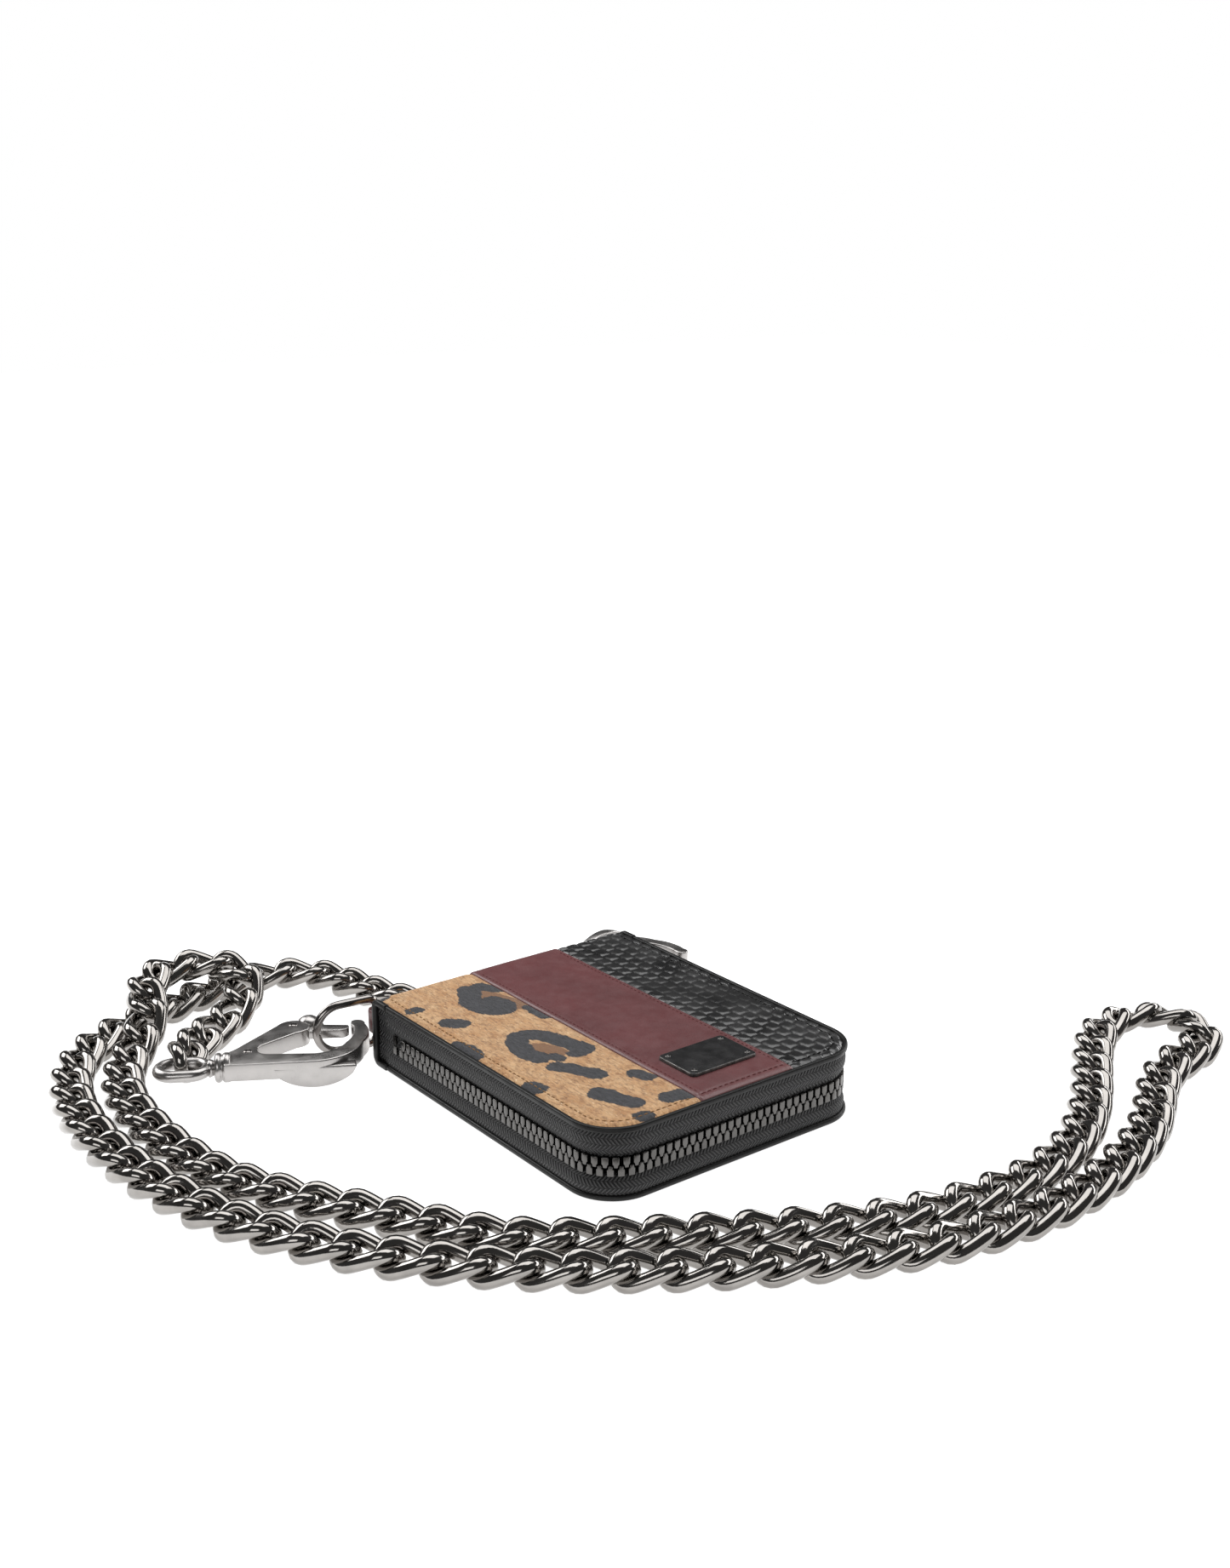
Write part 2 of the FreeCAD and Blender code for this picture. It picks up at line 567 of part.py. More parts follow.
def clasp_body():
    half = cell("ClaspThickness") / 2
    collar = cell("ClaspCollarRadius")
    outline = outline_face([
        Vector(-0.5, -4.6, 0), Vector(28.0, -5.0, 0),
        (Vector(37.6, -0.6, 0), Vector(42.2, 8.5, 0)), (Vector(43.9, 15.5, 0), Vector(42.6, 22.5, 0)),
        (Vector(40.9, 25.3, 0), Vector(37.6, 24.8, 0)), (Vector(37.9, 23.2, 0), Vector(38.7, 20.5, 0)),
        (Vector(38.9, 14.0, 0), Vector(36.6, 8.2, 0)), (Vector(33.0, 3.2, 0), Vector(27.0, 1.0, 0)),
        Vector(12.8, 2.4, 0), (Vector(9.6, 4.6, 0), Vector(10.2, 8.8, 0)),
        Vector(21.0, 17.2, 0), (Vector(25.0, 22.4, 0), Vector(19.4, 27.0, 0)),
        (Vector(16.6, 26.0, 0), Vector(14.6, 23.6, 0)), Vector(4.0, 9.4, 0),
        (Vector(1.6, 6.4, 0), Vector(-0.5, 4.6, 0)), Vector(-0.5, -4.6, 0)])
    plate = flat_solid(outline, -half, half)
    outside = [Vector(15, -5, 0), Vector(38, -1, 0), Vector(43.8, 15, 0)]
    rim = [e for e in plate.Edges if abs(e.tangentAt(e.FirstParameter).z) < 0.5
           and any(math.hypot(e.CenterOfMass.x - p.x, e.CenterOfMass.y - p.y) < 3 for p in outside)]
    plate = plate.makeChamfer(0.5, rim)
    ferrule = Part.makeCylinder(collar, 3.4, Vector(-3.4, 0, 0), Vector(1, 0, 0))
    # A keel hangs under the near bar and carries the hook clear of the table.
    keel_disc = Part.makeCylinder(15.3, 3.6, Vector(27.0, -4.95, 9.0), Vector(0, 1, 0))
    keel = keel_disc.common(Part.makeBox(40, 10, 5, Vector(5, -6, -half - 5 + 0.6)))
    whole = plate.fuse(ferrule).fuse(keel)
    slot_face = outline_face([Vector(10.5, 12.0, 0), Vector(26.0, 12.0, 0), Vector(26.0, 30.0, 0),
                              Vector(14.0, 30.0, 0), Vector(8.5, 14.5, 0), Vector(10.5, 12.0, 0)])
    whole = whole.cut(flat_solid(slot_face, -SLOT_HALF, SLOT_HALF))
    for centre in (GATE_PIVOT, BODY_RIVET):
        whole = whole.cut(Part.makeCylinder(cell("ClaspPinRadius") + 0.05, 12, centre - Vector(0, 0, 6)))
    stem_bore = Part.makeCylinder(2.1, 6, Vector(-4, 0, 0), Vector(1, 0, 0))
    head_room = Part.makeCylinder(2.6, 2.6, Vector(-0.4, 0, 0), Vector(1, 0, 0))
    return whole.cut(stem_bore).cut(head_room).removeSplitter()


def clasp_gate():
    knuckle = Part.makeCylinder(3.1, 2 * GATE_HALF, GATE_PIVOT - Vector(0, 0, GATE_HALF))
    bar = outline_face([Vector(19.7, 21.0, 0), Vector(34.0, 20.6, 0), (Vector(36.6, 21.6, 0), Vector(36.9, 24.4, 0)),
                        Vector(29.5, 25.8, 0), (Vector(27.2, 29.6, 0), Vector(23.6, 30.2, 0)),
                        (Vector(21.0, 29.4, 0), Vector(19.7, 26.3, 0)), Vector(19.7, 21.0, 0)])
    gate = knuckle.fuse(flat_solid(bar, -GATE_HALF, GATE_HALF))
    thumb = Part.makeSphere(4.2, Vector(25.4, 28.0, -1.6))
    thumb = thumb.common(Part.makeBox(12, 5.2, 5.2, Vector(19.5, 26.9, -GATE_HALF)))
    gate = gate.fuse(thumb)
    return gate.cut(Part.makeCylinder(cell("ClaspPinRadius") + 0.05, 12, GATE_PIVOT - Vector(0, 0, 6))).removeSplitter()


def clasp_pin(centre):
    """A riveted pin with a low domed head on each face."""
    half = cell("ClaspThickness") / 2
    radius = cell("ClaspPinRadius")
    shank = Part.makeCylinder(radius, 2 * half + 0.1, centre - Vector(0, 0, half + 0.05))
    pin = shank
    for side in (-1, 1):
        seat = centre + Vector(0, 0, side * (half + 0.02))
        ball = Part.makeSphere(2.2, seat - Vector(0, 0, side * 1.5))
        cap = ball.common(Part.makeCylinder(3, 3, seat, Vector(0, 0, side)))
        pin = pin.fuse(cap)
    return pin.removeSplitter()


def clasp_spring():
    """The leaf that pushes the gate shut, lying in the slot behind the gate's knuckle."""
    leaf = outline_face([Vector(10.6, 14.0, 0), Vector(11.1, 13.7, 0), Vector(16.0, 20.0, 0),
                         Vector(15.6, 20.3, 0), Vector(10.6, 14.0, 0)])
    return flat_solid(leaf, -1.1, 1.1)


def clasp_eye():
    wire = cell("EyeWire")
    back, front, side = -20.5, -5.8, 4.7
    loop = round_wire_loop([Vector(front, -side, 0), Vector(front, side, 0), Vector(back, side, 0),
                            Vector(back, -side, 0)], [side - 0.01] * 4, wire)
    stem = Part.makeCylinder(2.04, 5.6, Vector(-5.2, 0, 0), Vector(1, 0, 0))
    head = Part.makeCylinder(2.54, 1.4, Vector(0.3, 0, 0), Vector(1, 0, 0))
    return loop.fuse(stem).fuse(head).removeSplitter()


CLASPS = (
    ("wallet", Placement(Vector(-72.8, -94.4, 6.45), Rotation(Vector(0, 0, 1), 60))),
    ("belt", Placement(Vector(-78.5, 36.0, 5.7), Rotation(Vector(0, 0, 1), 100) * Rotation(Vector(0, 1, 0), 3.6)
                       * Rotation(Vector(1, 0, 0), 180))),
)
CLASP_PIECES = (
    ("clasp_body", clasp_body), ("clasp_gate", clasp_gate), ("clasp_gate_pin", lambda: clasp_pin(GATE_PIVOT)),
    ("clasp_body_rivet", lambda: clasp_pin(BODY_RIVET)), ("clasp_spring", clasp_spring),
    ("clasp_eye", clasp_eye),
)
for piece, make in CLASP_PIECES:
    shape = make()
    for where, place in CLASPS:
        item = doc.addObject("Part::Feature", where + "_" + piece)
        item.Shape = shape
        item.Placement = place.multiply(shape.Placement)
        keep(item, where + "_" + piece)

# ---------------------------------------------------------------- the chain
# Route of the chain's centre line: x, y, z, and its roll about that line in degrees.  It leaves
# the wallet clasp's eye, doubles back over itself on the left, runs along the front, turns at the
# right and comes back outside its first strand to the belt clasp behind the spine.
CHAIN_ROUTE = [
    (-83.6, -103.7, 6.8, 45), (-92.4, -98.4, 6.6, 42), (-100.0, -88.0, 5.6, 24), (-106.5, -75.5, 6.3, 6),
    (-116.0, -63.5, 11.2, 0), (-130.0, -62.5, 14.0, 0), (-140.0, -72.5, 14.2, 0), (-140.0, -86.5, 14.2, 0),
    (-130.0, -96.5, 13.6, 0), (-116.5, -98.5, 10.2, 0), (-107.0, -108.0, 5.4, 0), (-97.0, -117.0, 4.2, 0),
    (-85.0, -123.8, 4.2, 0), (-69.0, -128.0, 4.2, 0), (-44.0, -129.4, 4.2, 0),
    (-16.0, -126.6, 4.2, 0), (9.0, -115.5, 4.2, 0), (34.0, -98.5, 4.2, 0), (60.0, -84.0, 4.2, 0),
    (79.0, -58.0, 4.2, 0), (100.0, -24.5, 4.2, 0), (115.5, 5.0, 4.2, 0), (122.0, 32.0, 4.2, 0),
    (122.5, 57.0, 4.2, 0), (116.0, 79.0, 4.2, 0), (104.0, 99.5, 4.2, 0), (90.0, 117.0, 4.3, 0),
    (77.0, 133.5, 4.6, 0), (70.0, 147.0, 5.2, -10), (71.0, 161.0, 5.8, -20), (81.5, 170.5, 6.0, -20),
    (95.5, 168.0, 5.8, -20), (101.5, 155.0, 5.2, -10), (101.5, 138.5, 4.6, 0), (109.5, 122.5, 4.3, 0),
    (122.0, 105.0, 4.2, 0), (131.0, 84.0, 4.2, 0), (136.5, 59.0, 4.2, 0), (137.0, 33.0, 4.2, 0),
    (131.5, 3.0, 4.2, 0), (117.5, -27.5, 4.2, 0), (98.5, -58.5, 4.2, 0), (76.0, -87.0, 4.2, 0),
    (48.0, -113.5, 4.2, 0), (16.0, -132.0, 4.2, 0), (-14.0, -141.0, 4.2, 0), (-44.0, -144.0, 4.2, 0),
    (-71.0, -142.8, 4.2, 0), (-95.0, -136.5, 4.2, 0), (-112.5, -125.5, 4.2, 0), (-123.5, -110.0, 4.2, 0),
    (-129.0, -92.5, 4.2, 0), (-134.5, -77.0, 4.2, 0), (-138.5, -60.0, 4.2, 0), (-137.0, -43.5, 4.2, 0),
    (-129.5, -33.5, 4.2, 0), (-117.0, -28.5, 4.2, 0), (-103.5, -26.0, 4.2, 0), (-90.5, -22.0, 4.2, 0),
    (-80.0, -14.5, 4.6, -12), (-74.2, -4.0, 5.9, -32), (-73.2, 6.2, 6.9, -45), (-74.9, 15.8, 6.9, -45),
]
ARC_SHARE = 0.45
END_REACH = 4.1          # from the eye's bar to the centre of the link that holds it


def route_edges(route):
    """Straight runs joined by tangent arcs, each as large as its two runs allow."""
    points = [Vector(x, y, z) for x, y, z, _ in route]
    edges, radii, here = [], [], points[0]
    for before, corner, after in zip(points, points[1:], points[2:]):
        u, v = before - corner, after - corner
        shorter = min(u.Length, v.Length)
        u.normalize()
        v.normalize()
        half = (math.pi - u.getAngle(v)) / 2
        reach = ARC_SHARE * shorter
        radius = reach / math.tan(half)
        radii.append(radius)
        start, end = corner + u * reach, corner + v * reach
        middle = corner + (u + v).normalize() * (radius / math.cos(half) - radius)
        edges.append(Part.LineSegment(here, start).toShape())
        edges.append(Part.Arc(start, middle, end).toShape())
        here = end
    edges.append(Part.LineSegment(here, points[-1]).toShape())
    return edges, radii


def curb_link():
    """One curb link on the X axis: an oval of round wire twisted a quarter turn along its length."""
    wire, width, pitch = cell("LinkWire"), cell("LinkWidth"), cell("LinkPitch")
    reach = (pitch + 1.1 + wire) / 2
    side = (width - wire) / 2
    tilt = math.sin(math.radians(45)) * side
    corners = [Vector(reach, tilt, -tilt), Vector(reach, -tilt, tilt), Vector(0, -side * 1.04, 0),
               Vector(-reach, -tilt, -tilt), Vector(-reach, tilt, tilt), Vector(0, side * 1.04, 0)]
    radii = []
    for i, corner in enumerate(corners):
        u, v = corners[i - 1] - corner, corners[(i + 1) % 6] - corner
        half = (math.pi - u.getAngle(v)) / 2
        radii.append((side * 0.97 if i in (0, 1, 3, 4) else side * 0.6) / math.tan(half))
    return round_wire_loop(corners, radii, wire)


edges, radii = route_edges(CHAIN_ROUTE)
lengths = [e.Length for e in edges]
total = sum(lengths)
print("chain length %.1f mm, arc radii:" % total, " ".join("%.0f" % r for r in radii))


def along_route(distance):
    """The place, heading and roll at a distance along the route."""
    walked = 0.0
    for edge, length in zip(edges, lengths):
        if distance <= walked + length or edge is edges[-1]:
            parameter = edge.getParameterByLength(min(max(distance - walked, 0.0), length))
            beyond = distance - min(max(distance, 0.0), total)
            place = edge.valueAt(parameter) + edge.tangentAt(parameter) * beyond
            break
        walked += length
    share = []
    for x, y, z, roll in CHAIN_ROUTE:
        share.append((place.distanceToPoint(Vector(x, y, z)), roll))
    share.sort(key=lambda pair: pair[0])
    (near, roll_a), (far, roll_b) = share[0], share[1]
    return place, roll_a + (roll_b - roll_a) * near / (near + far)


link_count = int(round((total - 2 * END_REACH) / cell("LinkPitch"))) + 1
spacing = (total - 2 * END_REACH) / (link_count - 1)
print("links %d, spacing %.2f mm" % (link_count, spacing))
master = curb_link()
CHAIN_NODES = 6
per_node = math.ceil(link_count / CHAIN_NODES)
for group in range(CHAIN_NODES):
    links = []
    for i in range(group * per_node, min((group + 1) * per_node, link_count)):
        distance = END_REACH + i * spacing
        roll = along_route(distance)[1]
        behind = along_route(distance - spacing / 2)[0]
        ahead = along_route(distance + spacing / 2)[0]
        place = (behind + ahead) * 0.5
        heading = (ahead - behind).normalize()
        side = Vector(0, 0, 1).cross(heading).normalize()
        up = heading.cross(side)
        turned = Rotation(heading, side, up, "XYZ") * Rotation(Vector(1, 0, 0), roll)
        link = master.copy()
        link.Placement = Placement(place, turned)
        links.append(link)
    stretch = doc.addObject("Part::Feature", "chain_links_%d" % (group + 1))
    stretch.Shape = Part.makeCompound(links)
    keep(stretch, "chain_links_%d" % (group + 1))

# ---------------------------------------------------------------- check and write
doc.recompute()
for item in doc.Objects:
    if "Invalid" in item.State or "Error" in item.State:
        raise RuntimeError("%s failed: %s" % (item.Label, item.State))
for item in nodes:
    if item.Shape.isNull() or not item.Shape.isValid():
        raise RuntimeError("%s has no valid shape" % item.Label)
for item in nodes:
    item.Shape.exportStep(os.path.join("parts", item.Label + ".step"))
print("%d nodes written" % len(nodes))
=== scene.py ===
import bpy
import bmesh
import math
import numpy as np
from mathutils import Matrix, Vector, noise


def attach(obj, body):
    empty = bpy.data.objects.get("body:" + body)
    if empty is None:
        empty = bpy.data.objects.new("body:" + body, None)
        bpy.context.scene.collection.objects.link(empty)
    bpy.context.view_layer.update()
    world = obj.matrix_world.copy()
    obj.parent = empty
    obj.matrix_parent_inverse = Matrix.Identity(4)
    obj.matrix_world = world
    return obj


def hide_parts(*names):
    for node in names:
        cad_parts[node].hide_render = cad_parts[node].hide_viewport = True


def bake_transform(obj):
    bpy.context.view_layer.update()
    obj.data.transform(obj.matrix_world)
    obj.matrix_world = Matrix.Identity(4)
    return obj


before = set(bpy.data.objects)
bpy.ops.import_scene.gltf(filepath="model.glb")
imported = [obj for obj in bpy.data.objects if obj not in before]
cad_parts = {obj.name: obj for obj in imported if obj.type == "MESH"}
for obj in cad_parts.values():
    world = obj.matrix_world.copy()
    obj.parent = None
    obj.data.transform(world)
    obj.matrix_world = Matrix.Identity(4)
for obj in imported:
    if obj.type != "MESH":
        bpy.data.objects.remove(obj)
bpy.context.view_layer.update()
MM = 0.001
UP = Vector((0, 0, 1))

# ------------------------------------------------------------------ camera, light, stage
scene = bpy.context.scene
CAMERA_PLACE = Vector((0.4183, -0.3226, 0.2548))
CAMERA_AZIMUTH = math.radians(52.3)
CAMERA_PITCH = math.radians(16.58)
camera_data = bpy.data.cameras.new("camera")
camera_data.sensor_width = 36
camera_data.lens = 36 * 2200 / 1842
camera_data.clip_start = 0.01
camera = bpy.data.objects.new("camera", camera_data)
camera.location = CAMERA_PLACE
camera.rotation_euler = (math.pi / 2 - CAMERA_PITCH, 0, CAMERA_AZIMUTH)
scene.collection.objects.link(camera)
scene.camera = camera


def area_light(name, place, target, size, power, colour=(1, 1, 1)):
    data = bpy.data.lights.new(name, "AREA")
    data.shape = "RECTANGLE"
    data.size, data.size_y = size
    data.energy = power
    data.color = colour
    light = bpy.data.objects.new(name, data)
    light.location = place
    light.rotation_euler = (Vector(target) - Vector(place)).to_track_quat("-Z", "Y").to_euler()
    scene.collection.objects.link(light)


area_light("top_softbox", (-0.25, 0.35, 1.1), (0, 0, 0), (1.2, 0.9), 9)
area_light("key_softbox", (-0.95, -0.35, 0.75), (0, 0, 0.01), (0.8, 0.6), 7)
area_light("front_fill", (0.75, -0.95, 0.7), (0, 0, 0), (0.9, 0.5), 3.2)
area_light("back_strip", (0.1, 1.2, 0.5), (0, 0, 0), (1.4, 0.25), 5)

world = bpy.data.worlds.new("studio")
world.use_nodes = True
backdrop = world.node_tree.nodes["Background"]
backdrop.inputs["Color"].default_value = (1.0, 1.0, 1.0, 1)
seen = world.node_tree.nodes.new("ShaderNodeLightPath")
dim = world.node_tree.nodes.new("ShaderNodeMapRange")
dim.inputs["To Min"].default_value = 0.3
dim.inputs["To Max"].default_value = 0.07
power = world.node_tree.nodes.new("ShaderNodeMapRange")
power.inputs["To Max"].default_value = 1.0
world.node_tree.links.new(seen.outputs["Is Glossy Ray"], dim.inputs["Value"])
world.node_tree.links.new(dim.outputs["Result"], power.inputs["To Min"])
world.node_tree.links.new(seen.outputs["Is Camera Ray"], power.inputs["Value"])
world.node_tree.links.new(power.outputs["Result"], backdrop.inputs["Strength"])
scene.world = world
scene.view_settings.view_transform = "Standard"


# ------------------------------------------------------------------ materials
def rgba(value):
    """A colour with its alpha; anything else stays as it is."""
    return (*value, 1) if isinstance(value, tuple) and len(value) == 3 else value


class Shader:
    """A node material under construction."""

    SOCKETS = {"base": "Base Color", "roughness": "Roughness", "metallic": "Metallic", "coat": "Coat Weight",
               "coat_roughness": "Coat Roughness", "sheen": "Sheen Weight",
               "sheen_roughness": "Sheen Roughness", "specular": "Specular IOR Level"}

    def __init__(self, name):
        self.material = bpy.data.materials.new(name)
        self.material.use_nodes = True
        self.tree = self.material.node_tree
        self.surface = self.tree.nodes["Principled BSDF"]
        self.bumps = None

    def node(self, kind, inputs=None, **settings):
        made = self.tree.nodes.new(kind)
        for key, value in settings.items():
            setattr(made, key, value)
        for key, value in (inputs or {}).items():
            self.put(made.inputs[key], value)
        return made

    def put(self, socket, value):
        if isinstance(value, bpy.types.NodeSocket):
            self.tree.links.new(value, socket)
        else:
            socket.default_value = value

    def math(self, operation, a, b=0.0, c=0.0):
        return self.node("ShaderNodeMath", {0: a, 1: b, 2: c}, operation=operation).outputs[0]

    def place(self, scale=(1, 1, 1), turn=0.0):
        where = self.node("ShaderNodeTexCoord").outputs["Object"]
        turned = {"Vector": where, "Scale": scale, "Rotation": (0, 0, turn)}
        return self.node("ShaderNodeMapping", turned).outputs[0]

    def noise(self, size, detail=3.0, stretch=(1, 1, 1), turn=0.0, rough=0.5):
        """Noise whose largest features are about size metres."""
        return self.node("ShaderNodeTexNoise", {
            "Vector": self.place(stretch, turn), "Scale": 1 / size, "Detail": detail,
            "Roughness": rough}).outputs["Fac"]

    def cells(self, size):
        """Soft cells about size metres wide."""
        return self.node("ShaderNodeTexVoronoi", {"Vector": self.place(), "Scale": 1 / size},
                         feature="SMOOTH_F1").outputs["Distance"]

    def span(self, value, low, high):
        """Spreads the usual span of a noise, 0.3 to 0.7, over low to high."""
        return self.node("ShaderNodeMapRange", {0: value, 1: 0.3, 2: 0.7, 3: low, 4: high}).outputs[0]

    def ramp(self, value, *stops):
        """A colour ramp of (position, colour or grey) stops."""
        made = self.node("ShaderNodeValToRGB", {0: value})
        elements = made.color_ramp.elements
        while len(elements) < len(stops):
            elements.new(0.5)
        for element, (position, colour) in zip(elements, stops):
            element.position = position
            element.color = rgba(colour if isinstance(colour, tuple) else (colour, colour, colour))
        return made.outputs[0]

    def clouded(self, value, base, change):
        """The base colour, darker and lighter by a share of itself where the noise is low and high."""
        low = tuple(c * (1 - change) for c in base)
        high = tuple(min(1, c * (1 + change)) for c in base)
        return self.ramp(value, (0.3, low), (0.7, high))

    def mix(self, factor, a, b, blend="MIX"):
        return self.node("ShaderNodeMix", {0: factor, 6: rgba(a), 7: rgba(b)}, data_type="RGBA",
                         blend_type=blend).outputs[2]

    def attribute(self, name):
        return self.node("ShaderNodeAttribute", attribute_name=name).outputs["Fac"]

    def bump(self, height, strength, distance):
        inputs = {"Height": height, "Strength": strength, "Distance": distance}
        if self.bumps is not None:
            inputs["Normal"] = self.bumps
        self.bumps = self.node("ShaderNodeBump", inputs).outputs[0]

    def finish(self, **inputs):
        for key, value in inputs.items():
            self.put(self.surface.inputs[self.SOCKETS[key]], rgba(value))
        if self.bumps is not None:
            self.put(self.surface.inputs["Normal"], self.bumps)
        return self.material


def metal(name, base, roughness):
    """Plated metal with faint clouds and hairline scratches."""
    s = Shader(name)
    cloud = s.noise(0.006, 4)
    s.bump(s.noise(0.0006, 2, stretch=(1, 1, 6)), 0.15, 0.00002)
    return s.finish(base=s.clouded(cloud, base, 0.12), metallic=1.0,
                    roughness=s.span(cloud, roughness * 0.8, roughness * 1.25))


def leather(name, base, roughness, grain=0.0006, strength=0.35, coat=0.0, variation=0.25, specular=0.35):
    """Grained leather: pores of the grain's size over soft wear."""
    s = Shader(name)
    pores = s.cells(grain)
    wear = s.noise(0.004, 5)
    colour = s.clouded(s.noise(0.02, 4), base, variation)
    colour = s.mix(0.25, colour, s.ramp(pores, (0.1, 0.35), (0.5, 1.0)), "MULTIPLY")
    s.bump(wear, 0.15, 0.0002)
    s.bump(pores, strength, grain * 0.12)
    return s.finish(base=colour, roughness=s.span(wear, roughness * 0.82, roughness * 1.2), coat=coat,
                    coat_roughness=0.2, specular=specular)


def woven(name, base, thread=0.0004, roughness=0.85):
    """Plain weave of threads this wide, in metres."""
    s = Shader(name)
    waves = [s.node("ShaderNodeTexWave", {"Vector": s.place(), "Scale": 0.31 / thread, "Distortion": 0.6},
                    bands_direction=axis).outputs["Fac"] for axis in "XY"]
    weave = s.math("MULTIPLY", *waves)
    s.bump(weave, 0.5, thread * 0.3)
    # painted shade and highlight: the colour follows the weave's height, darker between the threads and lighter
    # on them
    colour = s.mix(weave, tuple(c * 0.5 for c in base), tuple(c * 1.4 for c in base))
    return s.finish(base=colour, roughness=roughness, specular=0.15)


def zip_tape_material():
    """Herringbone tape: diagonal ribs that turn back at every band, in millimetres."""
    band, rib_pitch, slope = 1.9, 1.25, 0.85
    s = Shader("zip_tape_weave")
    bands = s.math("PINGPONG", s.attribute("across"), band)
    slanted = s.math("ADD", s.attribute("along"), s.math("MULTIPLY", bands, slope))
    rib = s.math("SINE", s.math("MULTIPLY", slanted, 2 * math.pi / rib_pitch))
    rib = s.math("MULTIPLY_ADD", rib, 0.5, 0.5)
    valley = s.math("SMOOTH_MIN", bands, s.math("SUBTRACT", band, bands), 0.1)
    valley = s.math("MINIMUM", s.math("MULTIPLY", valley, 4.0), 1.0)
    height = s.math("MULTIPLY", rib, s.math("MULTIPLY_ADD", valley, 0.6, 0.4))
    s.bump(height, 1.0, 0.0004)
    s.bump(s.noise(0.00025, 3), 0.25, 0.00006)
    # painted shade and highlight: the colour follows the ribs' height, darker in the grooves and the band
    # creases, lighter on the crests
    colour = s.mix(height, (0.003, 0.003, 0.0035), (0.07, 0.069, 0.07))
    return s.finish(base=colour, roughness=0.6, specular=0.4)


def leopard_material():
    """Short hair: tan ground with dark spots; the spots' distance fields come with the mesh."""
    s = Shader("leopard_calf_hair")
    hair = s.noise(0.0011, 6, stretch=(0.5, 1.6, 1), turn=0.35, rough=0.75)
    glint = s.noise(0.0007, 2, stretch=(0.6, 1.5, 1), turn=0.5)
    tuft = s.noise(0.004, 4, stretch=(0.8, 1.2, 1), turn=0.35)
    ground = s.mix(s.ramp(tuft, (0.3, 0.0), (0.7, 1.0)), (0.5, 0.255, 0.1), (0.68, 0.43, 0.22))
    streaks = s.ramp(hair, (0.38, 1.0), (0.5, 0.25), (0.6, 0.0))
    ground = s.mix(streaks, ground, s.mix(0.75, ground, (0.16, 0.065, 0.022)))
    ground = s.mix(s.ramp(glint, (0.62, 0.0), (0.74, 0.7)), ground, (0.86, 0.66, 0.42))
    jitter = s.math("MULTIPLY_ADD", hair, 2.6, -1.3)
    warped = s.math("ADD", s.attribute("spot"), jitter)
    brown = s.math("ADD", s.attribute("brown"), jitter)
    dark = s.mix(s.ramp(hair, (0.35, 0.0), (0.65, 1.0)), (0.003, 0.003, 0.004), (0.045, 0.046, 0.055))
    middle = s.mix(hair, (0.13, 0.055, 0.02), (0.3, 0.15, 0.065))
    colour = s.mix(s.ramp(brown, (0.35, 1.0), (0.75, 0.0)), ground, middle)
    colour = s.mix(s.ramp(warped, (0.45, 1.0), (0.7, 0.0)), colour, dark)
    s.bump(tuft, 0.3, 0.0006)
    s.bump(hair, 0.8, 0.00035)
    return s.finish(base=colour, roughness=0.6, sheen=0.25, sheen_roughness=0.4, specular=0.3)


def embossed_material():
    """Glossy black embossed leather; the cells themselves are in the mesh."""
    s = Shader("embossed_black_leather")
    cloud = s.noise(0.012, 3)
    colour = s.ramp(cloud, (0.3, (0.004, 0.004, 0.0045)), (0.7, (0.02, 0.0195, 0.02)))
    s.bump(s.noise(0.0009, 4), 0.15, 0.00004)
    return s.finish(base=colour, roughness=s.span(cloud, 0.24, 0.4), coat=0.3, coat_roughness=0.15,
                    specular=0.6)


def plate_material():
    """Black painted metal, lighter in patches along its top rim."""
    s = Shader("plate_metal")
    cloud = s.noise(0.004, 5)
    # patches of lighter grey are mixed in along the top rim, where the rim attribute is set
    top_rim_lighter = s.math("MULTIPLY", s.attribute("rim"), s.ramp(s.noise(0.0015, 4), (0.35, 0.1), (0.6, 0.8)))
    paint = s.mix(cloud, (0.012, 0.012, 0.013), (0.035, 0.034, 0.035))
    s.bump(s.noise(0.0004, 3), 0.15, 0.00003)
    return s.finish(base=s.mix(top_rim_lighter, paint, (0.2, 0.19, 0.18)), roughness=s.span(cloud, 0.3, 0.48),
                    metallic=0.55)


DARK_NICKEL = metal("dark_nickel", (0.27, 0.255, 0.245), 0.13)
CHAIN_NICKEL = metal("chain_nickel", (0.30, 0.285, 0.27), 0.12)
CLASP_NICKEL = metal("clasp_nickel", (0.43, 0.415, 0.405), 0.3)
TOOTH_METAL = metal("tooth_metal", (0.12, 0.116, 0.112), 0.26)
PLATE_METAL = plate_material()
SPRING_STEEL = metal("spring_steel", (0.45, 0.45, 0.45), 0.3)
BURGUNDY = leather("burgundy_leather", (0.135, 0.041, 0.043), 0.4, grain=0.0005, strength=0.25, coat=0.1,
                   variation=0.14, specular=0.55)
BLACK_LEATHER = leather("black_leather", (0.01, 0.0095, 0.01), 0.45)
INNER_LEATHER = leather("inner_leather", (0.028, 0.026, 0.027), 0.5, grain=0.0005, strength=0.3)
EDGE_PAINT = leather("edge_paint", (0.006, 0.006, 0.006), 0.4, grain=0.0012, strength=0.2, specular=0.3)
LINING = woven("lining_cloth", (0.035, 0.033, 0.036))
BOARD = woven("stiffener_board", (0.25, 0.22, 0.18), 0.0007)
ZIP_WEAVE = zip_tape_material()
LEOPARD = leopard_material()
EMBOSSED = embossed_material()
THREAD_DARK = woven("dark_thread", (0.008, 0.0075, 0.0075), 0.0002, 0.75)
THREAD_BURGUNDY = woven("burgundy_thread", (0.16, 0.045, 0.045), 0.0002, 0.7)
